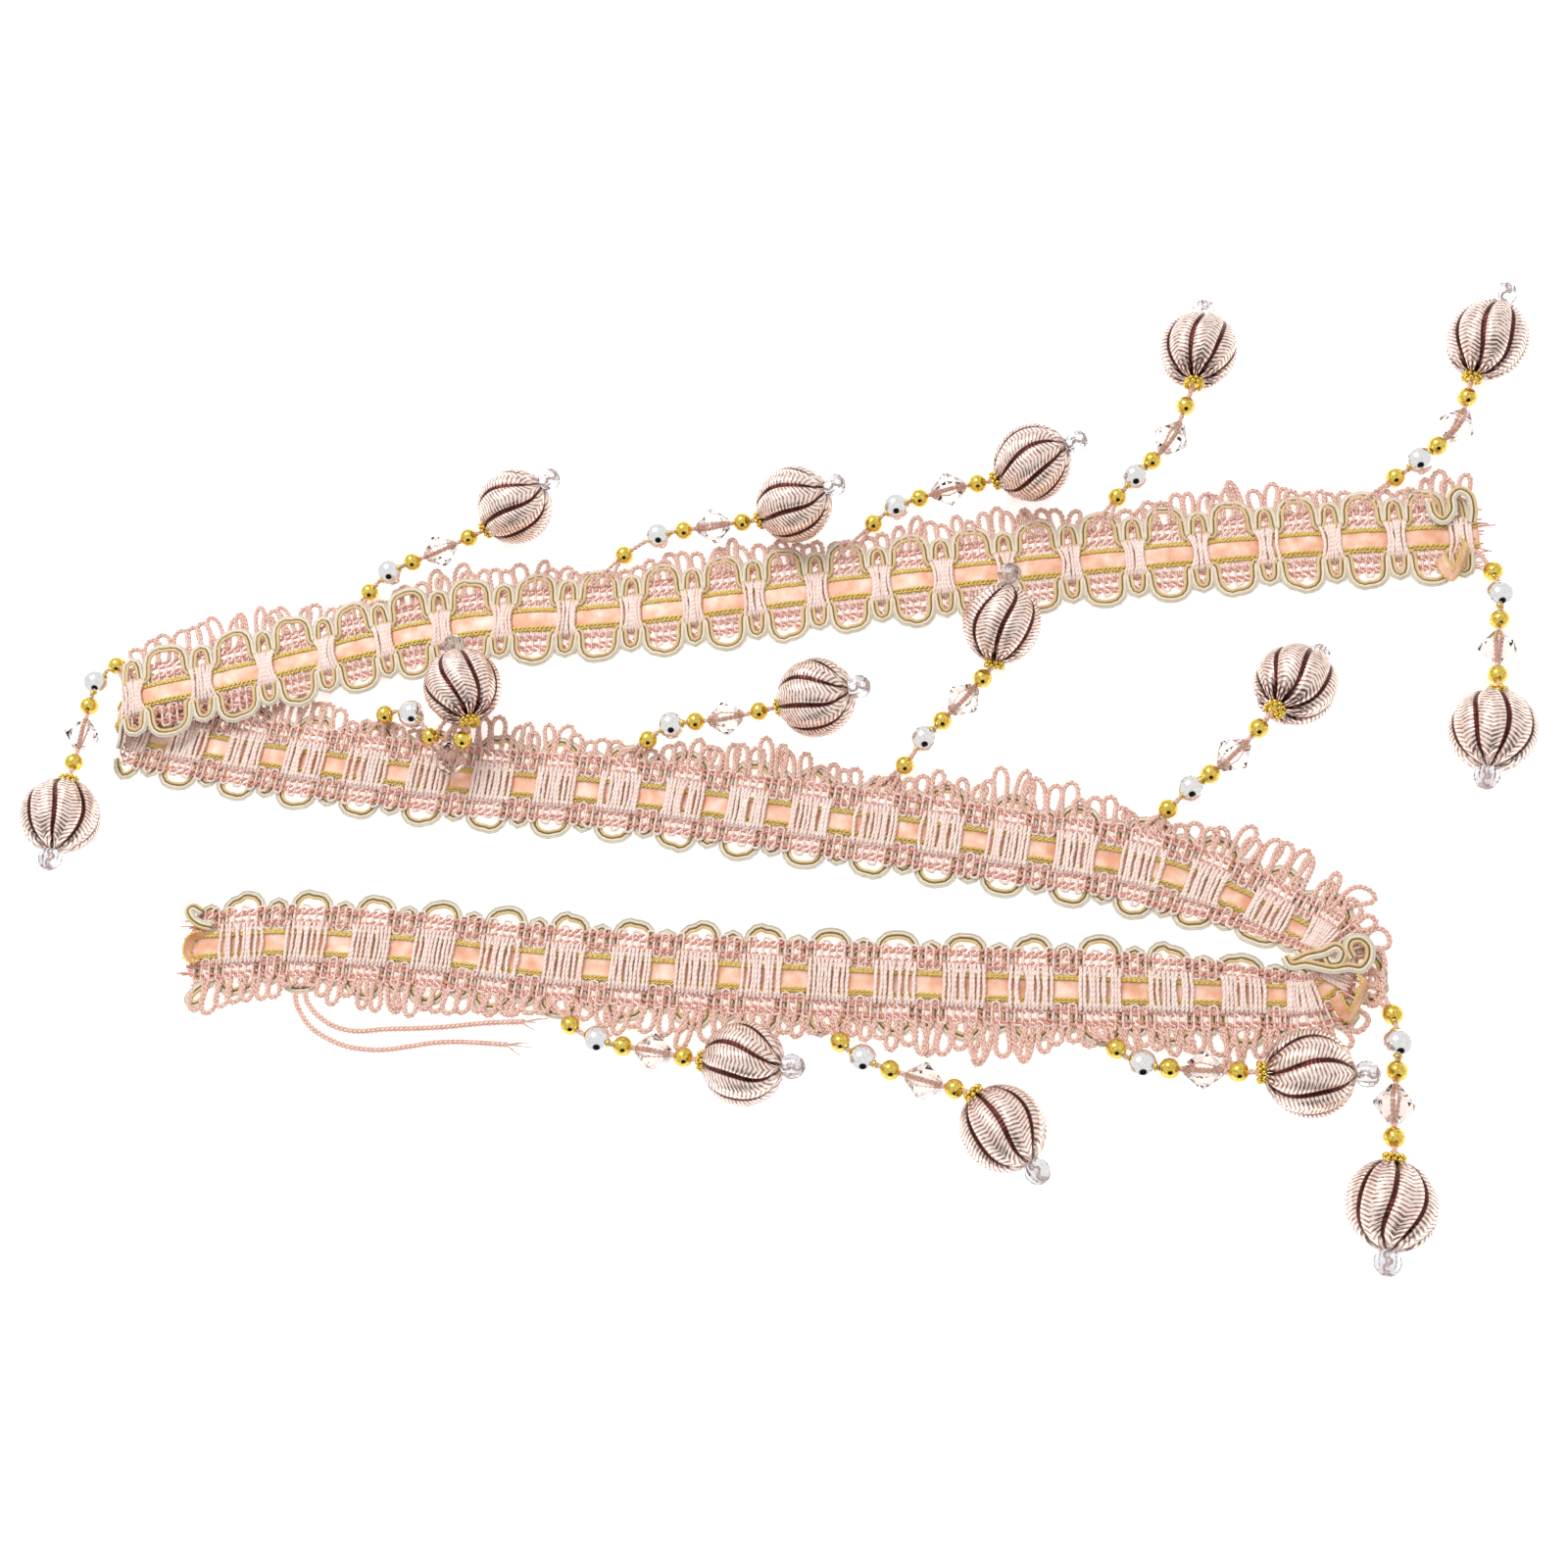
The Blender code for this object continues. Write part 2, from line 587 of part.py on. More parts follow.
def make_string(name, dropper):
    builder = bmesh.new()
    stations = string_stations(dropper)
    spots = [spot for spot, _ in stations]
    rings = []
    for i, (spot, radius) in enumerate(stations):
        along = spots[min(i + 1, len(spots) - 1)] - spots[max(i - 1, 0)]
        across = np.cross(along, (0.0, 0.0, 1.0))
        across /= np.linalg.norm(across)
        upward = np.cross(across, along)
        upward /= np.linalg.norm(upward)
        ring = []
        for side in range(STRING_SIDES):
            turn = 2 * math.pi * (side + 0.5) / STRING_SIDES
            point = spot + (across * math.cos(turn) + upward * math.sin(turn)) * radius
            point[2] = max(point[2], 0.0)
            ring.append(builder.verts.new(point))
        rings.append(ring)
    tube(builder, rings)
    return add_object(name, builder, "beads", smooth=True)


def turned(builder, middle, axis, profile, sides, groove=1.0):
    """A closed turned shape: profile rows are height along the axis and radius."""
    axis = Vector(axis).normalized()
    across = axis.cross(Vector((0.0, 0.0, 1.0))).normalized()
    upward = axis.cross(across)
    rings = []
    for height, radius in profile:
        ring = []
        for side in range(sides):
            turn = 2 * math.pi * side / sides
            reach = radius * (groove if side % 2 else 1.0)
            outward = across * math.cos(turn) + upward * math.sin(turn)
            point = Vector(middle) + axis * height + outward * reach
            point.z = max(point.z, 0.0)
            ring.append(builder.verts.new(point))
        rings.append(ring)
    tube(builder, rings)


def make_ball(name, dropper):
    """Eight puffed gores between the neck and the end bead."""
    builder = bmesh.new()
    neck = direction(*dropper[5:])
    angles = [math.radians(a) for a in BALL_RINGS_DEG]
    profile = [(math.cos(a) * BALL_RADIUS, math.sin(a) * BALL_RADIUS) for a in angles]
    turned(builder, placed(*dropper[4]), neck, profile, 2 * GORES, GROOVE)
    return add_object(name, builder, "ball", smooth=True)


def end_bead_middle(dropper):
    to_bead = BALL_RADIUS * BALL_POLE + CLEAR + END_BEAD_RADIUS * END_BEAD_HALF
    return placed(*dropper[4]) - direction(*dropper[5:]) * to_bead


def make_end_bead(name, dropper):
    builder = bmesh.new()
    away = -direction(*dropper[5:])
    profile = [(END_BEAD_RADIUS * height, END_BEAD_RADIUS * size) for height, size in END_BEAD_PROFILE]
    turned(builder, end_bead_middle(dropper), away, profile, STRING_SIDES)
    return add_object(name, builder, "end", smooth=True)


def make_tail(name, route):
    line = through([(i, x, y) for i, (x, y) in enumerate(route)])
    curve = bpy.data.curves.new(name, "CURVE")
    curve.dimensions = "3D"
    curve.bevel_depth = TAIL_RADIUS * MM
    curve.bevel_resolution = 2
    curve.use_fill_caps = True
    spline = curve.splines.new("POLY")
    spline.points.add(TAIL_POINTS - 1)
    for point, key in zip(spline.points, np.linspace(0, len(route) - 1, TAIL_POINTS)):
        x, y = line(key)
        point.co = (*(placed(x, y, TAIL_RADIUS + TAIL_CLEARANCE) * MM), 1.0)
    curve.materials.append(material("loops"))
    obj = bpy.data.objects.new(name, curve)
    parts.objects.link(obj)
    return obj


def obstacle_list():
    """Spheres that stand for the droppers and tails, so that the loops stay clear of them."""
    found = []
    for dropper in DROPPERS:
        found.append((placed(*dropper[4]), BALL_RADIUS))
        found.append((end_bead_middle(dropper), END_BEAD_RADIUS))
        stations = string_stations(dropper)
        for (a, radius_a), (b, radius_b) in zip(stations, stations[1:]):
            found += [(a + (b - a) * f, radius_a + (radius_b - radius_a) * f) for f in (0.0, 0.33, 0.67)]
    for route in TAILS:
        line = through([(i, x, y) for i, (x, y) in enumerate(route)])
        for key in np.arange(0, len(route) - 1, 0.2):
            found.append((placed(*line(key), TAIL_RADIUS), TAIL_RADIUS))
    return found


for old in list(bpy.data.objects):
    bpy.data.objects.remove(old, do_unlink=True)
parts = bpy.data.collections.new(NAME)
bpy.context.scene.collection.children.link(parts)

for name, start, end in (
    ("braid_front", STRIP_START, BRAID_CUTS[0]),
    ("braid_turn", BRAID_CUTS[0] + STRIP_SPLIT, BRAID_CUTS[1]),
    ("braid_middle", BRAID_CUTS[1] + STRIP_SPLIT, BRAID_CUTS[2]),
    ("braid_top", BRAID_CUTS[2] + STRIP_SPLIT, STRIP_END),
):
    make_braid(name, start, end)
make_ribbon()
in_the_way = obstacle_list()
make_fringe("loop_fringe_front", STRIP_START, TURN_START, in_the_way)
make_fringe("loop_fringe_turn", TURN_START + STRIP_SPLIT, TURN_END, in_the_way)
make_fringe("loop_fringe_middle", TURN_END + STRIP_SPLIT, FOLD_START - FRINGE_TO_FOLD, in_the_way)
make_fringe("loop_fringe_top", FOLD_END + FRINGE_TO_FOLD, STRIP_END, in_the_way)
for number, row in enumerate(DROPPERS, start=1):
    make_string(f"bead_string_{number:02d}", row)
    make_ball(f"lantern_ball_{number:02d}", row)
    make_end_bead(f"end_bead_{number:02d}", row)
for number, route in enumerate(TAILS, start=1):
    make_tail(f"yarn_tail_{number}", route)
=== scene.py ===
import math

import bpy
import numpy as np
from mathutils import Matrix


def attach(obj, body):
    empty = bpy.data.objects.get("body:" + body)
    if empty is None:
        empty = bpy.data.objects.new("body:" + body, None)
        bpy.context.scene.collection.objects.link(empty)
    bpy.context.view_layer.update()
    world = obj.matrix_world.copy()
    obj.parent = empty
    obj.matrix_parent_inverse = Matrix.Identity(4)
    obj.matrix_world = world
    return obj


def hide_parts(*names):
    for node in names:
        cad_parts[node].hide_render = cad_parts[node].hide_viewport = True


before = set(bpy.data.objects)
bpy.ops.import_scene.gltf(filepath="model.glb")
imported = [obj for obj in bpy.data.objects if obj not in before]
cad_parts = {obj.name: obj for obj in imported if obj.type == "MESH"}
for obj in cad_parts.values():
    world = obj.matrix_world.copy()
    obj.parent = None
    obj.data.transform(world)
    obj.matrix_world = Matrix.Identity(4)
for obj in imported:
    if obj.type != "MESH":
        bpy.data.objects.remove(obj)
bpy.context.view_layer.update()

scene = bpy.context.scene
rng = np.random.default_rng(1590)
toMetres = 0.001

# Tables are in millimetres and degrees, or say so where they aren't. Pieces are scaled to metres when
# they are made.
layout = {
    "origin": (-6.6, 7.5),
    # repeat number, x, y, share of the plain-edge side left where the turn gathers it
    "lowerRuns": (
        (0.30, -150.2, -44.3, 1.00), (1.50, -129.0, -42.7, 1.00), (3.00, -103.5, -43.4, 1.00),
        (6.00, -52.5, -47.4, 1.00), (10.0, 13.3, -50.2, 1.00), (14.0, 77.9, -51.5, 1.00),
        (15.5, 102.1, -51.4, 0.76), (16.5, 118.2, -51.2, 0.50), (17.1, 124.8, -51.1, 0.40),
        (17.6, 129.1, -49.2, 0.38), (18.1, 130.9, -44.8, 0.38), (18.7, 129.2, -40.5, 0.38),
        (19.1, 126.6, -38.6, 0.40), (19.6, 121.8, -36.0, 0.50), (20.6, 108.2, -28.6, 0.76),
        (21.6, 94.0, -22.9, 1.00), (24.0, 56.0, -16.0, 1.00), (27.0, 7.2, -9.2, 1.00),
        (30.0, -42.0, -2.8, 1.00), (33.0, -93.0, 1.5, 1.00), (36.0, -144.5, 8.6, 1.00),
        (37.94, -176.5, 14.1, 1.00),
    ),
    # repeat number, x, y, height of the braid's middle plane
    "topRun": (
        (38.44, -176.5, 21.9, 6.2), (39.0, -166.5, 24.3, 5.6), (40.0, -148.0, 28.7, 4.8),
        (41.0, -132.5, 32.9, 4.2), (42.0, -116.1, 37.1, 3.3), (43.0, -101.8, 41.2, 2.2),
        (44.0, -86.0, 44.2, 1.3), (46.0, -51.1, 46.2, 1.0), (50.0, 14.7, 53.3, 1.0),
        (54.0, 79.6, 59.6, 1.0), (58.0, 144.3, 63.9, 1.0), (59.7, 170.2, 64.6, 1.0),
    ),
    "halfThick": 1.0,
    "gatherLift": 3.2,
    "plainEdge": 9.8,
    "slopeStep": 0.05,
    "tableStep": 0.01,
    "pitch": 16.5,
    "floorGap": 0.02,
}
runStart, foldStart = layout["lowerRuns"][0][0], layout["lowerRuns"][-1][0]
foldEnd, runEnd = layout["topRun"][0][0], layout["topRun"][-1][0]


def through(rows):
    # a smooth function of the first column that passes through the other columns
    table = np.array(rows, float)
    keys, values = table[:, 0], table[:, 1:]
    slopes = np.gradient(values, keys, axis=0)

    def at(where):
        where = np.atleast_1d(np.asarray(where, float))
        i = np.clip(np.searchsorted(keys, where) - 1, 0, len(keys) - 2)
        span = (keys[i + 1] - keys[i])[:, None]
        f = (where - keys[i])[:, None] / span
        g = np.clip(f, 0, 1)
        rise = 3 * g**2 - 2 * g**3
        ease = slopes[i] * (g - 2 * g**2 + g**3) + slopes[i + 1] * (g**3 - g**2)
        past = (f - g) * span * np.where(f < 0, slopes[i], slopes[i + 1])
        return values[i] * (1 - rise) + values[i + 1] * rise + ease * span + past

    return at


def bendTable():
    # columns: repeat, x, y, z, bearing of the fringe side, how far the face has turned over, share kept
    lower, top = through(layout["lowerRuns"]), through(layout["topRun"])
    step, half = layout["slopeStep"], layout["halfThick"]
    keys = np.arange(runStart - 0.6, runEnd + 0.6, layout["tableStep"])
    share = np.clip((keys - foldStart) / (foldEnd - foldStart), 0, 1)
    down = lower(np.minimum(keys, foldStart))
    up = top(np.maximum(keys, foldEnd))
    dl = lower(np.minimum(keys, foldStart) + step) - lower(np.minimum(keys, foldStart) - step)
    dt = top(np.maximum(keys, foldEnd) + step) - top(np.maximum(keys, foldEnd) - step)
    radius = (layout["topRun"][0][3] - half) / 2
    lowPart = keys <= foldStart
    topPart = keys >= foldEnd
    x = down[:, 0] + (up[:, 0] - down[:, 0]) * share - radius * np.sin(np.pi * share)
    y = down[:, 1] + (up[:, 1] - down[:, 1]) * share
    z = half + radius * (1 - np.cos(np.pi * share))
    x = np.where(lowPart, down[:, 0], np.where(topPart, up[:, 0], x))
    y = np.where(lowPart, down[:, 1], np.where(topPart, up[:, 1], y))
    z = np.where(lowPart, half, np.where(topPart, np.maximum(up[:, 2], half), z))
    bearing = np.arctan2(-dl[:, 0], dl[:, 1]) * (1 - share) + np.arctan2(dt[:, 0], -dt[:, 1]) * share
    kept = np.where(lowPart, np.minimum(down[:, 2], 1.0), 1.0)
    return keys, np.stack([x, y, z, bearing, np.pi * share, kept])


bendKeys, bendRows = bendTable()


def stripFrame(k):
    x, y, z, bearing, turned, kept = [np.interp(k, bendKeys, row) for row in bendRows]
    side = np.stack([np.cos(bearing), np.sin(bearing), 0 * bearing], -1)
    flat = np.stack([-side[..., 1], side[..., 0], 0 * bearing], -1)
    normal = flat * np.sin(turned)[..., None]
    normal[..., 2] -= np.cos(turned)
    return np.stack([x, y, z], -1), side, normal, kept


def onStrip(k, t, n):
    # the point t across and n off the front face of the braid at repeat k
    k, t, n = np.broadcast_arrays(np.asarray(k, float), np.asarray(t, float), np.asarray(n, float))
    middle, side, normal, kept = stripFrame(k)
    gathered = (t < 0) & (k < foldStart)
    lift = np.where(gathered, layout["gatherLift"] * (1 - kept) * (t / layout["plainEdge"]) ** 2, 0)
    t = np.where(gathered, t * kept, t)
    point = middle + side * t[..., None] + normal * n[..., None]
    point[..., 2] += lift
    return point - np.array((*layout["origin"], 0.0))


def placed(x, y, z):
    return np.array((x - layout["origin"][0], y - layout["origin"][1], z), float)


def unit(v):
    return v / np.maximum(np.linalg.norm(v, axis=-1, keepdims=True), 1e-9)


# Camera: 20 degrees off the vertical, turned 25 degrees to the lower right, as in the photograph
cameraView = {
    "target": (6.6, -7.5, 0.0),
    "tilt": 20.0,
    "turn": 25.0,
    "distance": 439.5,
    "lens": 40.05,
    "sensor": 36.0,
    "clip": (0.01, 20.0),  # metres
}


def makeCamera():
    tilt, turn = math.radians(cameraView["tilt"]), math.radians(cameraView["turn"])
    back = np.array((math.sin(tilt) * math.sin(turn), -math.sin(tilt) * math.cos(turn), math.cos(tilt)))
    right = unit(np.array((1.0, 0.0, 0.0)) - back[0] * back)
    up = np.cross(back, right)
    place = np.array(cameraView["target"]) + back * cameraView["distance"]
    data = bpy.data.cameras.new("camera")
    data.sensor_width, data.lens = cameraView["sensor"], cameraView["lens"]
    data.clip_start, data.clip_end = cameraView["clip"]
    camera = bpy.data.objects.new("camera", data)
    facing = Matrix(np.stack([right, up, back]).T.tolist()).to_4x4()
    camera.matrix_world = Matrix.Translation(place * toMetres) @ facing
    scene.collection.objects.link(camera)
    scene.camera = camera


def colour(code):
    channels = [int(code[i : i + 2], 16) / 255 for i in (1, 3, 5)]
    return (*[c / 12.92 if c <= 0.04045 else ((c + 0.055) / 1.055) ** 2.4 for c in channels], 1.0)


def addNode(tree, kind, settings=None, links=None):
    # whole-number keys and socket names set inputs, "stops" sets a ramp's colours, and other names
    # set the node's own settings
    node = tree.nodes.new(kind)
    for name, value in (settings or {}).items():
        value = colour(value) if isinstance(value, str) and value.startswith("#") else value
        if name == "stops":
            elements = node.color_ramp.elements
            while len(elements) < len(value):
                elements.new(0.5)
            for element, (place, code) in zip(elements, value):
                element.position, element.color = place, colour(code)
        elif isinstance(name, str) and hasattr(node, name):
            setattr(node, name, value)
        else:
            node.inputs[name].default_value = value
    for name, output in (links or {}).items():
        tree.links.new(output, node.inputs[name])
    return node


def newMaterial(name, **sockets):
    # _ in a socket's name stands for a space
    material = bpy.data.materials.new(name)
    material.use_nodes = True
    tree = material.node_tree
    shader = tree.nodes["Principled BSDF"]
    for socket, value in sockets.items():
        value = colour(value) if isinstance(value, str) else value
        shader.inputs[socket.replace("_", " ")].default_value = value
    return material, tree, shader


# Spun yarns and cords: each is a tube whose map holds mm along it and turns around it
# Each kind's stops run across the twist: the dark end is painted shade in the grooves between plies or
# winds, the light end a painted highlight on their crowns
yarnKinds = {
    # rayon floss, twisted: painted lustre along the plies, and painted shade in the groove between them
    "rayonYarn": {"stops": ((0.0, "#B8684F"), (0.36, "#F1BCA6"), (0.85, "#FFF0E9")),
                  "tint": "#F3C2AE", "plies": 2, "ply": 1.7,
                  "roughness": 0.46, "metallic": 0.0, "bump": 0.22},
    # the same rayon in the tight chain stitches, made darker as painted shade because little light gets in
    "rayonStitchShaded": {"stops": ((0.0, "#B65A46"), (0.4, "#E59D88"), (0.9, "#FBD6C8")),
                    "tint": "#DA8C77", "plies": 2, "ply": 1.4,
                    "roughness": 0.5, "metallic": 0.0, "bump": 0.2},
    # the straight weft, loosely spun and nearly white where it floats
    "rayonWeft": {"stops": ((0.0, "#E8B29D"), (0.32, "#FADCCF"), (0.8, "#FFFAF7")),
                  "tint": "#F7D0C1", "plies": 2, "ply": 2.4,
                  "roughness": 0.45, "metallic": 0.0, "bump": 0.18},
    # gimp cord, floss wound round a core: cream with a gold cast and fine slanting winds
    "gimpCord": {"stops": ((0.0, "#CBA070"), (0.32, "#F8E4C4"), (0.85, "#FFFCF4")),
                 "tint": "#F6E0BE", "plies": 3, "ply": 1.1,
                 "roughness": 0.42, "metallic": 0.0, "bump": 0.16},
    # its inner cord is dyed gold
    "gimpGold": {"stops": ((0.0, "#B07C34"), (0.32, "#EDC684"), (0.85, "#FFF0CC")),
                 "tint": "#E4B870", "plies": 3, "ply": 1.1,
                 "roughness": 0.42, "metallic": 0.0, "bump": 0.16},
    # the dull dark thread that holds the gimp's two cords together
    "gimpBinder": {"stops": ((0.0, "#4A3F1D"), (0.5, "#76683A"), (1.0, "#9C8D57")),
                   "tint": "#84743F", "plies": 2, "ply": 0.9,
                   "roughness": 0.6, "metallic": 0.0, "bump": 0.2},
    # the gimp's outer strand of bright white silk
    "gimpSilk": {"stops": ((0.0, "#A39C86"), (0.4, "#E4DFD0"), (0.9, "#FFFEFA")),
                 "tint": "#D8D0B8", "plies": 3, "ply": 1.0,
                 "roughness": 0.36, "metallic": 0.0, "bump": 0.16},
    # lurex, flat metallised film round a thread: bright gold with a painted highlight, and painted dark
    # reflection where the film turns over between winds
    "goldLurex": {"stops": ((0.0, "#8A5E14"), (0.3, "#EFC244"), (0.75, "#FFF3A6")),
                  "tint": "#F3CC58", "plies": 2, "ply": 1.3,
                  "roughness": 0.3, "metallic": 0.45, "bump": 0.3},
}


yarnFinish = {
    "sheen": 0.15,
    "sheenRoughness": 0.4,
    "patches": 650.0,  # uneven dye and lint, in patches about 1.5 mm across
    "patchShare": 0.55,
    "patchShift": -0.06,
    "twistShadeShare": 0.55,
    "tintShare": 0.4,
    "relief": 0.6,
}


def makeYarn(name, kind):
    material, tree, shader = newMaterial(
        name, Roughness=kind["roughness"], Metallic=kind["metallic"],
        Sheen_Weight=yarnFinish["sheen"], Sheen_Roughness=yarnFinish["sheenRoughness"])
    mapped = addNode(tree, "ShaderNodeUVMap", {"uv_map": "yarnMap"})
    parts = addNode(tree, "ShaderNodeSeparateXYZ", links={"Vector": mapped.outputs[0]})
    turns = addNode(tree, "ShaderNodeMath", {"operation": "MULTIPLY_ADD", 1: 1 / kind["ply"]},
                    {0: parts.outputs["X"], 2: parts.outputs["Y"]})
    phase = addNode(tree, "ShaderNodeMath", {"operation": "MULTIPLY", 1: 2 * math.pi * kind["plies"]},
                    {0: turns.outputs[0]})
    wave = addNode(tree, "ShaderNodeMath", {"operation": "SINE"}, {0: phase.outputs[0]})
    ridge = addNode(tree, "ShaderNodeMapRange", {"From Min": -1.0}, {"Value": wave.outputs[0]})
    place = addNode(tree, "ShaderNodeTexCoord")
    patches = addNode(tree, "ShaderNodeTexNoise", {"Scale": yarnFinish["patches"], "Detail": 3.0},
                      {"Vector": place.outputs["Object"]})
    level = addNode(tree, "ShaderNodeMath",
                    {"operation": "MULTIPLY_ADD", 1: yarnFinish["patchShare"], 2: yarnFinish["patchShift"]},
                    {0: patches.outputs["Fac"]})
    mixed = addNode(tree, "ShaderNodeMath", {"operation": "MULTIPLY_ADD", 1: yarnFinish["twistShadeShare"]},
                    {0: ridge.outputs[0], 2: level.outputs[0]})
    # the ramp over the twist paints shade into the grooves and a highlight along the crowns; the patches
    # beneath are real uneven dye
    plain = addNode(tree, "ShaderNodeValToRGB", {"stops": kind["stops"]}, {"Fac": mixed.outputs[0]})
    island = addNode(tree, "ShaderNodeNewGeometry")
    share = addNode(tree, "ShaderNodeMath", {"operation": "MULTIPLY", 1: yarnFinish["tintShare"]},
                    {0: island.outputs["Random Per Island"]})
    tinted = addNode(tree, "ShaderNodeMix", {"data_type": "RGBA", 7: kind["tint"]},
                     {0: share.outputs[0], 6: plain.outputs[0]})
    bump = addNode(tree, "ShaderNodeBump",
                   {"Strength": yarnFinish["relief"], "Distance": kind["bump"] * toMetres},
                   {"Height": ridge.outputs[0]})
    tree.links.new(tinted.outputs[2], shader.inputs["Base Color"])
    tree.links.new(bump.outputs[0], shader.inputs["Normal"])
    return material


# Satin ribbon, polyester: long floats give a smooth sheen; its streaks along the ribbon are painted light
# and shade from noise, with painted shade between the weft ribs
satin = {
    "stops": ((0.3, "#EAA27C"), (0.5, "#F6C1A2"), (0.72, "#FEE2D2")),
    "roughness": 0.33,
    "anisotropic": 0.5,
    "sheen": 0.1,
    "specular": 0.6,
    "ribGap": 0.35,  # mm between weft ribs, a little coarser than real so that they show
    "ribShare": 0.06,
    "folds": 260.0,
    "relief": 0.25,
    "depth": 0.05,
}


def makeSatin():
    material, tree, shader = newMaterial(
        "satinRibbon", Roughness=satin["roughness"], Anisotropic=satin["anisotropic"],
        Sheen_Weight=satin["sheen"], Specular_IOR_Level=satin["specular"])
    mapped = addNode(tree, "ShaderNodeUVMap", {"uv_map": "yarnMap"})
    parts = addNode(tree, "ShaderNodeSeparateXYZ", links={"Vector": mapped.outputs[0]})
    ribs = addNode(tree, "ShaderNodeMath", {"operation": "MULTIPLY", 1: 2 * math.pi / satin["ribGap"]},
                   {0: parts.outputs["X"]})
    wave = addNode(tree, "ShaderNodeMath", {"operation": "SINE"}, {0: ribs.outputs[0]})
    place = addNode(tree, "ShaderNodeTexCoord")
    folds = addNode(tree, "ShaderNodeTexNoise", {"Scale": satin["folds"], "Detail": 2.0},
                    {"Vector": place.outputs["Object"]})
    # painted shade in the troughs between ribs, and painted light and dark sheen streaks from the noise, go
    # into the ribbon's colour
    tone = addNode(tree, "ShaderNodeMath", {"operation": "MULTIPLY_ADD", 1: satin["ribShare"]},
                   {0: wave.outputs[0], 2: folds.outputs["Fac"]})
    shade = addNode(tree, "ShaderNodeValToRGB", {"stops": satin["stops"]}, {"Fac": tone.outputs[0]})
    bump = addNode(tree, "ShaderNodeBump",
                   {"Strength": satin["relief"], "Distance": satin["depth"] * toMetres},
                   {"Height": wave.outputs[0]})
    tree.links.new(shade.outputs[0], shader.inputs["Base Color"])
    tree.links.new(bump.outputs[0], shader.inputs["Normal"])
    return material


# Rose-taupe metallised cord wound over a core: pale ridges with a painted highlight, and painted shade,
# dark red-brown, in the pleats
ballCord = {
    "windStops": ((0.35, "#80574A"), (0.62, "#CFA898"), (0.95, "#FFF1E9")),
    "pleatShadeStops": ((0.3, "#2A0F0C"), (0.7, "#6E3026")),
    "roughness": 0.26,
    "metallic": 0.8,
    "specular": 0.6,
    "windGap": 0.9,  # mm between winds, where real ones are nearer 0.45
    "slant": 3.4,  # mm that a wind falls back towards each pleat, as a herringbone
    "windShare": 0.7,
    "glints": 900.0,
    "pleat": (0.39, 0.435),
    "neck": (3.2, 1.0),  # "neck": (3.2, 1.0), # mm from the neck, where the cord is gathered into small pleats that get painted shade
    "tuckEvery": 0.125,
    "tuck": (0.04, 0.09),
    "relief": 0.5,
    "depth": 0.18,
}


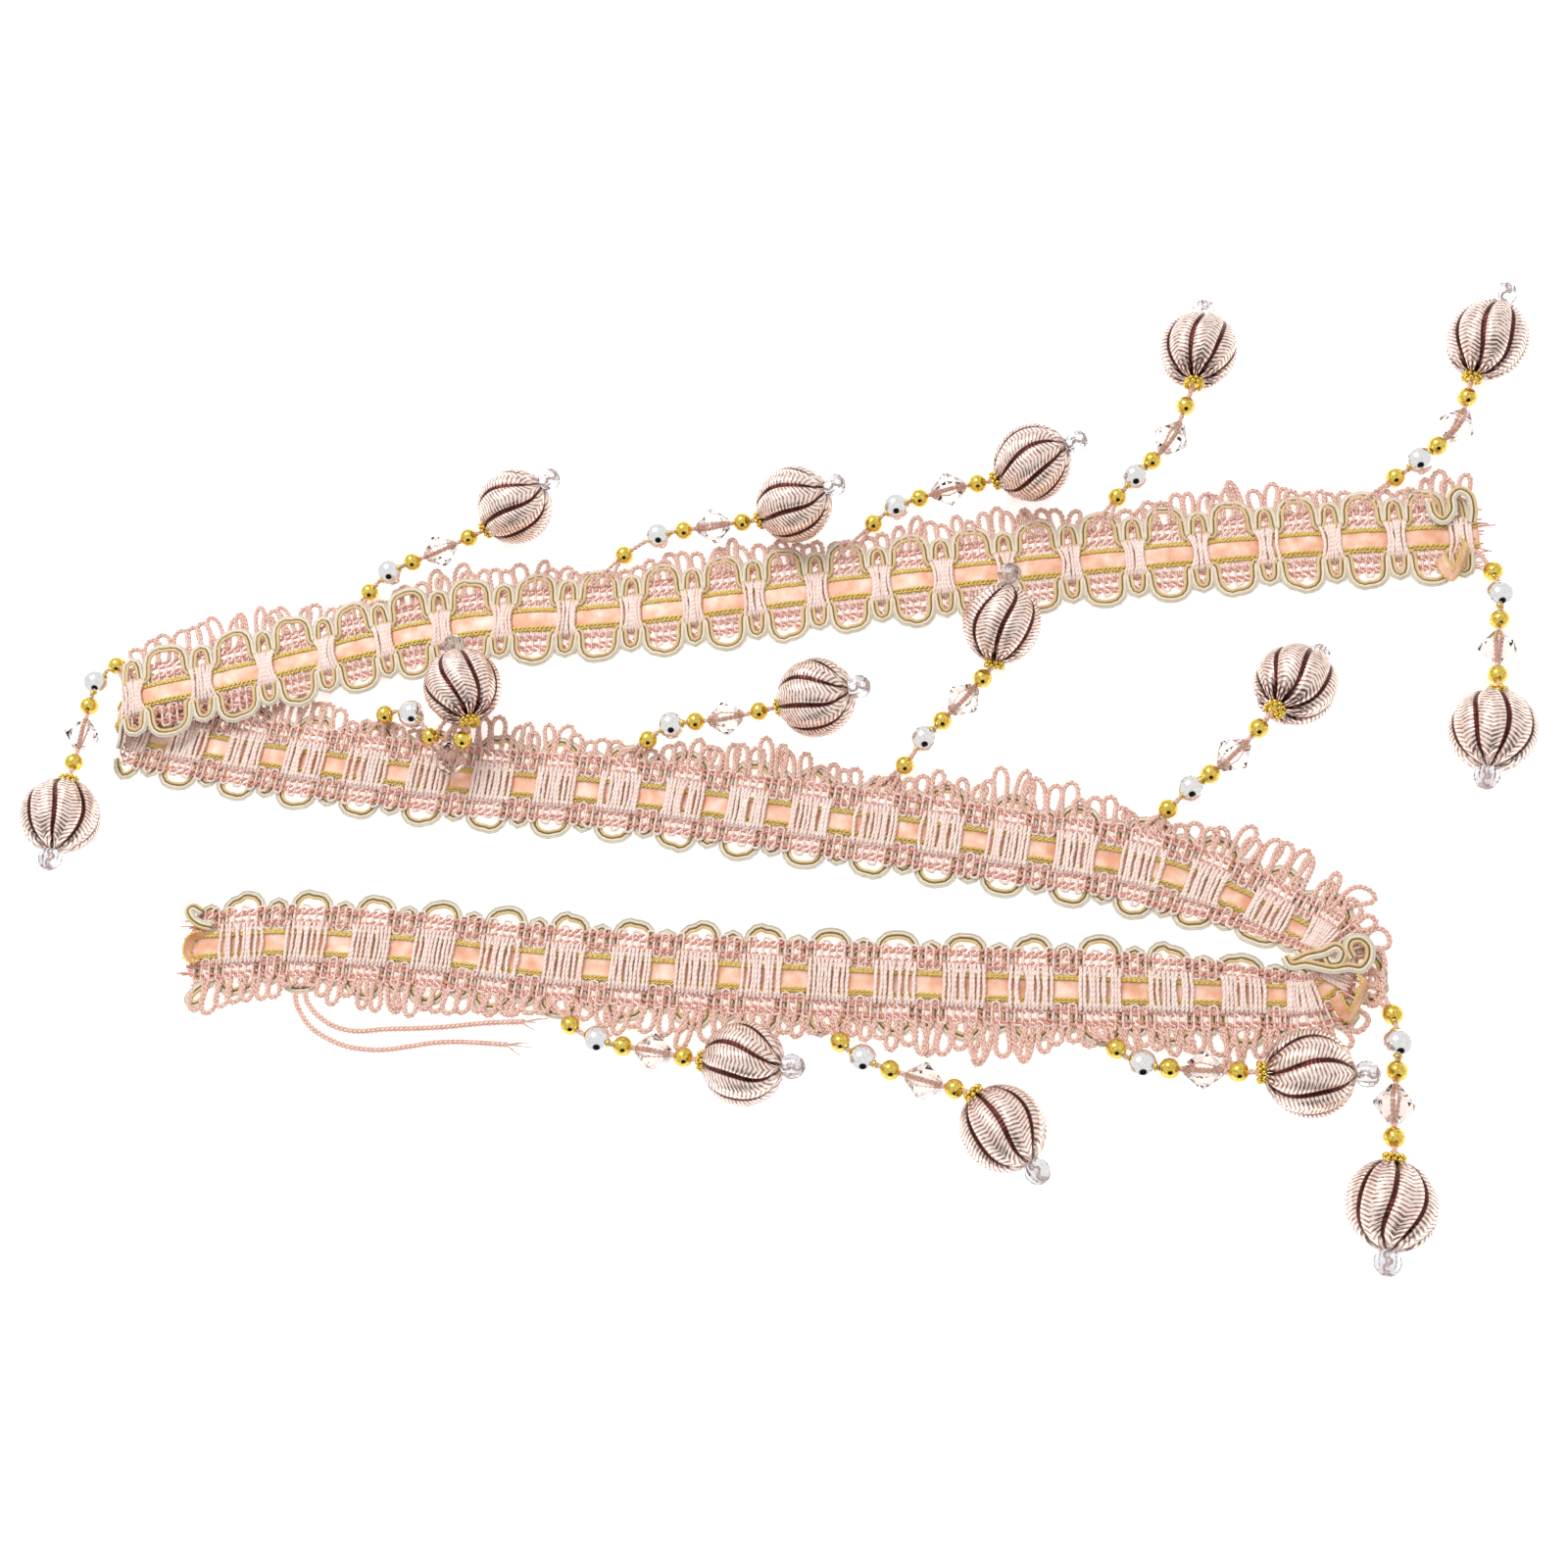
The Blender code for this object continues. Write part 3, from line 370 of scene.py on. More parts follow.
def makeBallCord():
    material, tree, shader = newMaterial(
        "metallisedCord", Roughness=ballCord["roughness"], Metallic=ballCord["metallic"],
        Specular_IOR_Level=ballCord["specular"])
    mapped = addNode(tree, "ShaderNodeUVMap", {"uv_map": "yarnMap"})
    parts = addNode(tree, "ShaderNodeSeparateXYZ", links={"Vector": mapped.outputs[0]})
    inGore = addNode(tree, "ShaderNodeMath", {"operation": "FRACT"}, {0: parts.outputs["Y"]})
    centred = addNode(tree, "ShaderNodeMath", {"operation": "SUBTRACT", 1: 0.5}, {0: inGore.outputs[0]})
    away = addNode(tree, "ShaderNodeMath", {"operation": "ABSOLUTE"}, {0: centred.outputs[0]})
    slant = addNode(tree, "ShaderNodeMath", {"operation": "MULTIPLY_ADD", 1: ballCord["slant"]},
                    {0: away.outputs[0], 2: parts.outputs["X"]})
    turns = addNode(tree, "ShaderNodeMath", {"operation": "MULTIPLY", 1: 2 * math.pi / ballCord["windGap"]},
                    {0: slant.outputs[0]})
    wave = addNode(tree, "ShaderNodeMath", {"operation": "SINE"}, {0: turns.outputs[0]})
    ridge = addNode(tree, "ShaderNodeMapRange", {"From Min": -1.0}, {"Value": wave.outputs[0]})
    place = addNode(tree, "ShaderNodeTexCoord")
    glint = addNode(tree, "ShaderNodeTexNoise", {"Scale": ballCord["glints"], "Detail": 2.0},
                    {"Vector": place.outputs["Object"]})
    # painted glints: the noise lightens and darkens the winds, and the ramp paints shade between winds and
    # a highlight on them
    level = addNode(tree, "ShaderNodeMath", {"operation": "MULTIPLY_ADD", 1: ballCord["windShare"]},
                    {0: ridge.outputs[0], 2: glint.outputs["Fac"]})
    winds = addNode(tree, "ShaderNodeValToRGB", {"stops": ballCord["windStops"]}, {"Fac": level.outputs[0]})
    low, high = ballCord["pleat"]
    # painted shade in the pleats between gores and in the small tucks by the neck
    pleat = addNode(tree, "ShaderNodeMapRange",
                    {"From Min": low, "From Max": high, "interpolation_type": "SMOOTHSTEP"},
                    {"Value": away.outputs[0]})
    dark = addNode(tree, "ShaderNodeValToRGB", {"stops": ballCord["pleatShadeStops"]},
                   {"Fac": glint.outputs["Fac"]})
    low, high = ballCord["neck"]
    gathered = addNode(tree, "ShaderNodeMapRange", {"From Min": low, "From Max": high},
                       {"Value": parts.outputs["X"]})
    folds = addNode(tree, "ShaderNodeMath", {"operation": "PINGPONG", 1: ballCord["tuckEvery"]},
                    {0: parts.outputs["Y"]})
    low, high = ballCord["tuck"]
    tucks = addNode(tree, "ShaderNodeMapRange", {"From Min": low, "From Max": high},
                    {"Value": folds.outputs[0]})
    tucked = addNode(tree, "ShaderNodeMath", {"operation": "MULTIPLY"},
                     {0: gathered.outputs[0], 1: tucks.outputs[0]})
    pleatShade = addNode(tree, "ShaderNodeMath", {"operation": "MAXIMUM"},
                     {0: pleat.outputs[0], 1: tucked.outputs[0]})
    mixed = addNode(tree, "ShaderNodeMix", {"data_type": "RGBA"},
                    {0: pleatShade.outputs[0], 6: winds.outputs[0], 7: dark.outputs[0]})
    bump = addNode(tree, "ShaderNodeBump",
                   {"Strength": ballCord["relief"], "Distance": ballCord["depth"] * toMetres},
                   {"Height": ridge.outputs[0]})
    tree.links.new(mixed.outputs[2], shader.inputs["Base Color"])
    tree.links.new(bump.outputs[0], shader.inputs["Normal"])
    return material


# Vacuum-plated plastic beads: mirrors, softened by the lacquer and its fine dust pits 0.5 mm apart
plating = {
    "goldPlate": {"stops": ((0.3, "#C79E2A"), (0.65, "#F7DB6E")), "roughness": (0.084, 0.18)},
    "silverPlate": {"stops": ((0.3, "#E6E5E4"), (0.65, "#FAF9F8")), "roughness": (0.042, 0.09)},
}
lacquer = {"coat": 0.3, "coatRoughness": 0.05, "pits": 2000.0}


def makePlated(name, kind):
    material, tree, shader = newMaterial(name, Metallic=1.0, Coat_Weight=lacquer["coat"],
                                         Coat_Roughness=lacquer["coatRoughness"])
    place = addNode(tree, "ShaderNodeTexCoord")
    pits = addNode(tree, "ShaderNodeTexNoise", {"Scale": lacquer["pits"], "Detail": 2.0},
                   {"Vector": place.outputs["Object"]})
    shade = addNode(tree, "ShaderNodeValToRGB", {"stops": kind["stops"]}, {"Fac": pits.outputs["Fac"]})
    smoothest, roughest = kind["roughness"]
    rough = addNode(tree, "ShaderNodeMapRange", {"To Min": smoothest, "To Max": roughest},
                    {"Value": pits.outputs["Fac"]})
    tree.links.new(shade.outputs[0], shader.inputs["Base Color"])
    tree.links.new(rough.outputs[0], shader.inputs["Roughness"])
    return material


# Clear moulded acrylic, IOR 1.49: bright edges, and faint flow marks from the mould
acrylic = {
    "clearAcrylic": {"tone": "#FAEDE7", "roughness": 0.03},
    "crackedAcrylic": {"tone": "#DFDFE3", "roughness": 0.1},
}
flowMarks = {"scale": 420.0, "relief": 0.12, "depth": 0.2}


def makeAcrylic(name, kind):
    material, tree, shader = newMaterial(name, Base_Color=kind["tone"], IOR=1.49, Transmission_Weight=1.0,
                                         Roughness=kind["roughness"])
    place = addNode(tree, "ShaderNodeTexCoord")
    flow = addNode(tree, "ShaderNodeTexNoise", {"Scale": flowMarks["scale"], "Detail": 1.0},
                   {"Vector": place.outputs["Object"]})
    bump = addNode(tree, "ShaderNodeBump",
                   {"Strength": flowMarks["relief"], "Distance": flowMarks["depth"] * toMetres},
                   {"Height": flow.outputs["Fac"]})
    tree.links.new(bump.outputs[0], shader.inputs["Normal"])
    return material


materials = {name: makeYarn(name, kind) for name, kind in yarnKinds.items()}
materials["satinRibbon"] = makeSatin()
materials["metallisedCord"] = makeBallCord()
materials.update({name: makePlated(name, kind) for name, kind in plating.items()})
materials.update({name: makeAcrylic(name, kind) for name, kind in acrylic.items()})
print("materials made:", len(materials))


# Mesh making: every piece is a pile of ring sweeps
def newPile():
    return {"verts": [], "quads": [], "caps": [], "quadMap": [], "capMap": [], "count": 0}


def addRings(pile, rings, around=1.0):
    # rings: sweep, station, side, xyz
    count, stations, sides = rings.shape[:3]
    middle = rings.mean(axis=2)
    steps = np.linalg.norm(np.diff(middle, axis=1), axis=-1)
    length = np.concatenate([np.zeros((count, 1)), np.cumsum(steps, axis=1)], axis=1)
    index = pile["count"] + np.arange(count * stations * sides).reshape(count, stations, sides)
    follow = np.roll(index, -1, axis=2)
    quads = np.stack([index[:, :-1], index[:, 1:], follow[:, 1:], follow[:, :-1]], -1)
    turn = np.arange(sides) / sides * around
    uv = np.empty((count, stations - 1, sides, 4, 2))
    uv[..., (0, 3), 0] = length[:, :-1, None, None]
    uv[..., (1, 2), 0] = length[:, 1:, None, None]
    uv[..., (0, 1), 1] = turn[None, None, :, None]
    uv[..., (2, 3), 1] = turn[None, None, :, None] + around / sides
    pile["verts"].append(rings.reshape(-1, 3))
    pile["quads"] += quads.reshape(-1, 4).tolist()
    pile["quadMap"].append(uv.reshape(-1, 2))
    for ends, where in ((index[:, 0], 0), (index[:, -1, ::-1], -1)):
        pile["caps"] += ends.tolist()
        capMap = np.zeros((count, sides, 2))
        capMap[..., 0] = length[:, where, None]
        # half a gore on, so that no end takes a pleat's painted shade
        capMap[..., 1] = 0.5 * around / 8
        pile["capMap"].append(capMap.reshape(-1, 2))
    pile["count"] += count * stations * sides


def crossAxes(paths, facing):
    # two directions square to the path: across it, and out of it towards the facing side
    along = unit(np.gradient(paths, axis=-2))
    across = np.cross(along, np.broadcast_to(facing, paths.shape))
    weak = np.linalg.norm(across, axis=-1, keepdims=True) < 0.05
    across = unit(np.where(weak, np.cross(along, (0.31, 0.87, 0.11)), across))
    return across, np.cross(across, along)


def addTubes(pile, paths, radius, sides=4, facing=(0.0, 0.0, 1.0)):
    paths = np.asarray(paths, float)
    paths = (paths[None] if paths.ndim == 2 else paths).copy()
    radius = np.broadcast_to(radius, paths.shape[:2])
    paths[..., 2] = np.maximum(paths[..., 2], radius + layout["floorGap"])
    across, upward = crossAxes(paths, facing)
    turns = 2 * math.pi * np.arange(sides) / sides
    out = across[:, :, None] * np.cos(turns)[:, None] + upward[:, :, None] * np.sin(turns)[:, None]
    addRings(pile, paths[:, :, None] + out * radius[:, :, None, None])


def resample(path, step):
    lengths = np.concatenate([[0.0], np.cumsum(np.linalg.norm(np.diff(path, axis=0), axis=1))])
    count = max(4, int(round(lengths[-1] / step)) + 1)
    spots = np.linspace(0, lengths[-1], count)
    return np.stack([np.interp(spots, lengths, path[:, i]) for i in range(3)], -1), spots


def smooth(points, count=8):
    # the points joined by a smooth line, count steps between each two
    line = through([(i, *point) for i, point in enumerate(points)])
    return line(np.linspace(0, len(points) - 1, (len(points) - 1) * count + 1))


def addPlied(pile, path, radius, offset, lay, step=None, facing=(0.0, 0.0, 1.0), sides=4, plies=2):
    # a twisted yarn: plies wound round the path, one turn every lay mm
    path, spots = resample(np.asarray(path, float), step or lay / 5)
    path[:, 2] = np.maximum(path[:, 2], radius + offset + layout["floorGap"])
    across, upward = crossAxes(path, facing)
    for ply in range(plies):
        turn = 2 * math.pi * (spots / lay + ply / plies)
        wound = offset * (across * np.cos(turn)[:, None] + upward * np.sin(turn)[:, None])
        addTubes(pile, path + wound, radius, sides, facing)


def makePiece(name, pile, material, replaces=(), smoothed=True):
    mesh = bpy.data.meshes.new(name)
    verts = np.concatenate(pile["verts"]) * toMetres
    mesh.from_pydata(verts.tolist(), [], pile["quads"] + pile["caps"])
    layer = mesh.uv_layers.new(name="yarnMap")
    corners = np.concatenate(pile["quadMap"] + pile["capMap"])
    layer.data.foreach_set("uv", corners.astype(np.float32).ravel())
    mesh.polygons.foreach_set("use_smooth", [smoothed] * len(mesh.polygons))
    mesh.materials.append(materials[material])
    piece = bpy.data.objects.new(name, mesh)
    scene.collection.objects.link(piece)
    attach(piece, "root")
    if replaces:
        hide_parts(*replaces)
    pieceSizes[name] = 2 * len(pile["quads"]) + sum(len(cap) - 2 for cap in pile["caps"])
    return piece


pieceSizes = {}

# The runs that the braid's pieces are split into, by repeat number
runs = {"Front": (runStart, 17.0), "Middle": (17.0, foldStart + 0.25), "Top": (foldStart + 0.25, runEnd)}


# Scroll gimp, along both edges on the front face
gimp = {
    # offset from the repeat, distance from the middle: half of one scallop, mirrored for the rest
    "half": ((0.0, 12.1), (0.07, 12.05), (0.15, 11.7), (0.22, 10.7), (0.258, 9.1), (0.268, 7.2),
             (0.272, 5.6), (0.287, 4.5), (0.328, 3.95), (0.369, 4.5), (0.383, 5.6), (0.388, 7.0),
             (0.398, 8.4), (0.43, 9.6), (0.5, 10.15)),
    # offset from the cord's middle, radius, yarn, height over the braid's middle plane
    "strands": ((-0.56, 0.46, "gimpGold", 0.5), (0.56, 0.46, "gimpCord", 0.5),
                (0.0, 0.22, "gimpBinder", 0.36), (1.16, 0.26, "gimpSilk", 0.34)),
    "wander": 0.28,
    "shift": 0.008,
    "steps": 26,
    "sides": 5,
}


def gimpPath(start, end, edge):
    half = list(gimp["half"])
    whole = half + [(1 - u, t) for u, t in half[-2:0:-1]]
    keys, reach = [], []
    for number in range(math.floor(start) - 1, math.ceil(end) + 1):
        bulge = rng.normal(0, gimp["wander"])
        shift = rng.normal(0, gimp["shift"])
        for u, t in whole:
            keys.append(number + u + shift)
            reach.append(t + bulge * (t - 4) / 8)
    keys, reach = np.array(keys), np.array(reach)
    line = through([(i, k, t) for i, (k, t) in enumerate(zip(keys, reach))])
    fine = line(np.arange(0, len(keys) - 1, len(whole) / gimp["steps"]))
    inside = (fine[:, 0] >= start) & (fine[:, 0] <= end)
    return fine[inside, 0], fine[inside, 1] * edge


def makeGimp():
    for run, (start, end) in runs.items():
        piles = {kind: newPile() for _, _, kind, _ in gimp["strands"]}
        for edge in (-1, 1):
            k, t = gimpPath(start, end, edge)
            centre = onStrip(k, t, 0.0)
            _, _, normal, _ = stripFrame(k)
            along = unit(np.gradient(centre, axis=0))
            outward = unit(np.cross(along, normal))
            # the silk lies on the scallop's outside, whichever way the path runs
            first = np.argmax(np.abs(t))
            beyond = onStrip(k[first], t[first] + edge, 0.0) - centre[first]
            way = np.sign(np.sum(outward[first] * beyond)) or 1.0
            for offset, radius, kind, height in gimp["strands"]:
                path = centre + outward * way * offset + normal * height
                addTubes(piles[kind], path, radius, gimp["sides"], normal[None])
        for kind, pile in piles.items():
            makePiece(f"{kind}{run}", pile, kind)
    print("gimp made")


# Knitted bands: chain-stitch rows over a weft that loops at the plain edge
knit = {
    "rows": (4.75, 5.65, 7.55, 8.45),
    "stitches": 8,
    "stitchLength": 2.0,
    "stitchSpan": (-1.0, -0.45, 0.45, 1.0),
    "stitchTaper": (0.35, 1.0, 1.0, 0.35),
    "slant": 0.34,
    "slantSpread": 0.06,
    "rowSpread": 0.1,
    "heightSpread": 0.08,
    "stitchRadius": 0.46,
    "height": -0.3,
    "wefts": 9,
    "weftRadius": 0.36,
    "weftInner": 3.7,
    "weftWay": (5.2, 7.0, 8.4),
    "weftOuter": {-1: 9.5, 1: 9.0},
    "weftSpread": 0.25,
    "nodes": {"Front": ("braid_front", "braid_turn"), "Middle": ("braid_middle",), "Top": ("braid_top",)},
}


def addStitches(pile, start, end, edge):
    for row, across in enumerate(knit["rows"]):
        spots = np.arange(start, end, 1 / knit["stitches"]) + 0.5 * (row % 2) / knit["stitches"]
        spots = spots[spots < end - 0.03]
        lean = rng.normal(knit["slant"], knit["slantSpread"], len(spots)) * edge
        reach = knit["stitchLength"] / 2 / layout["pitch"]
        side = across * edge + rng.normal(0, knit["rowSpread"], len(spots))
        height = knit["height"] + rng.normal(0, knit["heightSpread"], len(spots))
        share = np.array(knit["stitchSpan"])
        k = spots[:, None] + share * reach
        t = side[:, None] + share * lean[:, None]
        radius = knit["stitchRadius"] * np.array(knit["stitchTaper"])
        addTubes(pile, onStrip(k, t, height[:, None]), radius)


def addWeft(pile, start, end, edge):
    # one serpentine yarn: across, round the edge and back
    inner, outer = knit["weftInner"], knit["weftOuter"][edge]
    turn = 0.1 / knit["wefts"]
    k, t = [], []
    for i, at in enumerate(np.arange(start + 0.02, end - 0.02, 1 / knit["wefts"])):
        swing = outer + rng.normal(0, knit["weftSpread"])
        spots = (inner, *knit["weftWay"], swing)
        k += [at - turn, at, at, at, at + turn]
        t += spots if i % 2 == 0 else spots[::-1]
    path = onStrip(np.array(k), np.array(t) * edge, knit["height"] - 0.02)
    addTubes(pile, smooth(path, 2), knit["weftRadius"], 4)


def makeKnit():
    for run, (start, end) in runs.items():
        stitches, wefts = newPile(), newPile()
        for edge in (-1, 1):
            addStitches(stitches, start, end, edge)
            addWeft(wefts, start, end, edge)
        # the stitches take the darker copy of the rayon, which is painted shade
        makePiece(f"chainStitches{run}", stitches, "rayonStitchShaded", knit["nodes"][run])
        makePiece(f"weftYarn{run}", wefts, "rayonWeft")
    print("knitted bands made")


# Crossing yarns: wide groups behind the ribbon, narrow pinched groups in front of it
crossing = {
    "backYarns": 10,
    "backHalf": 0.285,
    "backHeight": -0.72,
    "backSag": 0.12,
    "backSpread": 0.06,
    "frontYarns": 8,
    "frontHalf": 0.19,
    "pinch": 0.4,
    "frontHeight": 0.62,
    "frontRise": 0.4,
    "frontSpread": 0.05,
    "radius": 0.47,
    "reach": 5.3,
    "wobble": 0.022,
    "kink": 0.004,
}


def makeCrossings():
    share = np.linspace(-1, 1, 9)
    belly = 1 - share**2
    for run, (start, end) in runs.items():
        pile = newPile()
        for number in np.arange(math.floor(start) - 0.5, math.ceil(end) + 0.5, 0.5):
            isBack = abs(number - round(number)) < 0.1
            count = crossing["backYarns"] if isBack else crossing["frontYarns"]
            half = crossing["backHalf"] if isBack else crossing["frontHalf"]
            for i in range(count):
                place = (2 * i / (count - 1) - 1) * half
                middle = 1.0 if isBack else 1 - crossing["pinch"] * belly
                k = number + place * middle + rng.normal(0, crossing["wobble"]) * belly
                k = k + rng.normal(0, crossing["kink"], len(share))
                if k.min() < start or k.max() > end:
                    continue
                if isBack:
                    n = crossing["backHeight"] - crossing["backSag"] * belly
                    n = n + rng.normal(0, crossing["backSpread"])
                else:
                    rise = crossing["frontRise"] if number > foldEnd else 0.0
                    n = crossing["frontHeight"] * (1 - 0.9 * share**6) + rise * belly
                    n = n + rng.normal(0, crossing["frontSpread"])
                path = onStrip(k, share * crossing["reach"], n)
                addTubes(pile, smooth(path, 1), crossing["radius"], 5)
        makePiece(f"crossingYarns{run}", pile, "rayonWeft")
    print("crossing yarns made")


# Satin ribbon with a lurex cord along each edge, woven under and over the crossing yarns
ribbon = {
    "half": 2.7,
    "thick": 0.13,
    "wave": 0.24,
    "wrinkle": 0.05,
    "wrinkles": 23.0,
    "bulge": 2.2,
    "bulgeEnd": 38.3,
    "steps": 16,
    "crown": 0.22,
    "start": runStart - 0.12,
    "end": runEnd + 0.15,
    # distance from the middle, ply radius, height on the face that shows
    "lurex": ((2.95, 0.34, 0.0), (2.4, 0.28, 0.34)),
    # ply offset, lay and step
    "lurexTwist": (0.22, 2.4, 0.7),
}


def ribbonHeight(k):
    share = np.clip((k - foldStart) / (ribbon["bulgeEnd"] - foldStart), 0, 1)
    return ribbon["wave"] * np.cos(2 * np.pi * k) + ribbon["bulge"] * np.sin(np.pi * share) ** 2


def makeRibbon():
    k = np.arange(ribbon["start"], ribbon["end"], 1 / ribbon["steps"])
    share = np.linspace(-1, 1, 9)
    crown = ribbon["crown"] * (1 - share**2)
    top = np.stack([share * ribbon["half"], crown + ribbon["thick"]], -1)
    low = np.stack([share[::-1] * ribbon["half"], crown[::-1] - ribbon["thick"]], -1)
    section = np.concatenate([top, low])
    lift = ribbonHeight(k) + ribbon["wrinkle"] * np.sin(k * ribbon["wrinkles"])
    rings = onStrip(k[:, None], section[None, :, 0], section[None, :, 1] + lift[:, None])
    pile = newPile()
    addRings(pile, rings[None, :, ::-1])
    makePiece("satinRibbon", pile, "satinRibbon", ("satin_ribbon",))
    edging = newPile()
    shown = np.where(k < foldStart, -1.0, 1.0)
    for edge in (-1, 1):
        for line, radius, height in ribbon["lurex"]:
            path = onStrip(k, edge * line, ribbonHeight(k) + height * shown)
            addPlied(edging, smooth(path, 2), radius, *ribbon["lurexTwist"], sides=3)
    makePiece("lurexEdges", edging, "goldLurex")
    print("ribbon made")


# Droppers: repeat of the root, centres of the first gold bead, silver bead, crystal and ball,
# then the bearing and rise of the line from the ball's middle to its neck
droppers = (
    (6.0, (-48.9, -63.0, 4.4), (-42.1, -66.5, 3.8), (-27.7, -69.0, 4.8), (-4.9, -72.2, 10.0), 176, -12),
    (10.0, (17.0, -65.7, 4.4), (22.4, -69.6, 3.8), (37.1, -74.4, 4.8), (55.4, -85.6, 10.0), 130, -4),
    (14.0, (81.2, -65.9, 4.5), (87.0, -69.4, 3.8), (100.8, -70.4, 4.8), (123.4, -71.4, 10.0), 180, -3),
    (17.95, (143.6, -56.3, 2.6), (144.2, -63.2, 3.8), (142.3, -77.1, 4.8), (139.3, -99.8, 10.0), 82, -6),
    (22.0, (94.3, -7.4, 3.4), (99.8, -2.4, 3.9), (109.8, 4.9, 7.4), (124.4, 21.9, 10.0), -125, 22),
    (26.0, (30.5, 4.1, 2.6), (35.3, 10.6, 3.8), (44.9, 20.6, 4.8), (54.3, 38.3, 11.2), -100, -18),
    (30.0, (-34.8, 10.4, 4.5), (-29.2, 14.6, 3.8), (-14.9, 16.0, 4.8), (8.6, 19.4, 10.0), 184, -24),
    (34.0, (-105.5, 17.6, 4.6), (-98.0, 17.6, 5.0), (-85.4, 4.4, 8.0), (-82.5, 22.2, 12.3), -72, 4),
    (38.32, (-183.4, 32.4, 4.0), (-188.6, 27.5, 3.8), (-189.5, 12.2, 4.8), (-188.3, -12.0, 10.0), 92, -8),
    (42.0, (-115.0, 53.6, 2.6), (-109.5, 58.8, 3.8), (-95.5, 64.5, 4.8), (-74.3, 74.4, 10.0), 208, -22),
    (46.0, (-45.4, 63.2, 2.6), (-36.2, 68.0, 3.8), (-21.4, 70.0, 4.8), (0.7, 73.2, 10.0), 193, -24),
    (50.0, (20.7, 70.9, 2.6), (26.6, 75.0, 3.8), (40.3, 79.0, 4.8), (61.9, 83.4, 10.0), 196, -22),
    (54.0, (83.5, 76.9, 2.6), (88.0, 81.9, 3.8), (97.2, 91.8, 5.6), (104.3, 114.8, 10.0), -98, 4),
    (58.0, (152.5, 80.6, 2.6), (158.2, 84.5, 3.8), (167.8, 93.6, 4.8), (175.5, 114.8, 10.0), -112, -14),
    (59.7, (174.0, 54.2, 2.6), (174.8, 47.2, 3.8), (172.9, 32.8, 4.8), (168.8, 10.0, 10.0), 78, -6),
)
bead = {
    "gold": 2.4,
    "goldHole": 17,
    "goldSides": 24,
    "silver": 3.7,
    "silverHole": 13,
    "silverSides": 32,
    "silverRings": 17,
    "crystal": 4.6,
    # distance along the string and radius of the crystal's corners
    "facets": ((-4.6, 0.9), (-4.416, 1.35), (-0.35, 4.554), (0.35, 4.554), (4.416, 1.35), (4.6, 0.9)),
    "facetSides": 8,
    # where each bead sits on the line through the centres in droppers
    "keys": ((1.0, "gold"), (2.0, "silver"), (2.48, "gold"), (3.0, "crystal"), (3.6, "gold")),
    "clear": 0.3,
    # distance from the braid's middle at which the yarn leaves it, and at which its two legs start
    "rootT": 12.3,
    "foldRootT": 9.3,
    "lastRootT": -4.6,
    "legT": 9.2,
    "foldLegT": 7.6,
    "legSpread": 0.13,
    "lastSpread": 1.2,
    "yarn": 0.8,
    "neckToCap": 0.32,
    # ply radius, offset and lay of the yarn, single in the legs and doubled through the beads
    "leg": (0.36, 0.3, 2.4),
    "pair": (0.42, 0.36, 2.6),
    "yarnStep": 0.6,
}
ball = {
    "radius": 10.0,
    "gores": 8,
    "sides": 64,
    "rings": 72,
    "open": 6,
    "groove": 0.1,
    "gather": 0.30,
    "ridge": 0.05,
    "twist": (0.18, 0.42),
    "sway": 0.06,
    "slant": 0.06,
}
clearBead = {
    "radius": 3.0,
    "centre": 12.3,
    "sides": 9,
    "knotHalf": 2.4,
    "knotWide": 0.5,
    "knotTurn": 14,
    "knotRadius": 0.32,
}
cap = {
    "hub": ((-0.85, 1.2), (-0.4, 1.7), (0.4, 1.7), (0.85, 1.2)),
    "hubSides": 14,
    "radius": 2.05,
    "pearls": 10,
    "pearl": 0.66,
    "pearlHole": 25,
    "pearlSides": 7,
    "half": 0.5,
    "stagger": 0.25,
}


def direction(bearing, rise):
    a, b = math.radians(bearing), math.radians(rise)
    return np.array((math.cos(b) * math.cos(a), math.cos(b) * math.sin(a), math.sin(b)))


def dropperLine(row):
    k, gold, silver, crystal, middle, bearing, rise = row
    neck = direction(bearing, rise)
    capSpot = placed(*middle) + neck * (ball["radius"] + bead["neckToCap"])
    if k == runEnd:
        root = onStrip(k, bead["lastRootT"], 0.0) + np.array((bead["clear"], 0, 0))
        outward = np.array((1.0, 0.0, 0.0))
    else:
        edge = bead["foldRootT"] if foldStart < k < foldEnd else bead["rootT"]
        root = onStrip(k, edge + bead["clear"], 0.0)
        outward = stripFrame(np.array(k))[1]
    spots = [root + outward * bead["yarn"], placed(*gold), placed(*silver), placed(*crystal), capSpot]
    return through([(i, *spot) for i, spot in enumerate(spots)]), root, neck, capSpot


def squareTo(axis):
    across = unit(np.cross(axis, (0.0, 0.0, 1.0)))
    return across, np.cross(across, axis)


def addTurned(pile, centre, axis, profile, sides, spin=0.0, around=1.0):
    axis = unit(np.asarray(axis, float))
    across, upward = squareTo(axis)
    turns = 2 * math.pi * (np.arange(sides) + spin) / sides
    out = across * np.cos(turns)[:, None] + upward * np.sin(turns)[:, None]
    rings = [centre + axis * height + out * radius for height, radius in profile]
    addRings(pile, np.array(rings)[None], around)


def beadProfile(radius, hole, rings=13, dish=0.45):
    # a drilled ball: rounded outside, with a short step down into each hole
    angles = np.radians(np.linspace(hole, 180 - hole, rings))[::-1]
    rows = [(radius * math.cos(a), radius * math.sin(a)) for a in angles]
    inner = radius * math.sin(math.radians(hole)) * 0.82
    ends = radius * math.cos(math.radians(hole))
    return [(-ends + dish, inner), (-ends, inner), *rows, (ends, inner), (ends - dish, inner)]


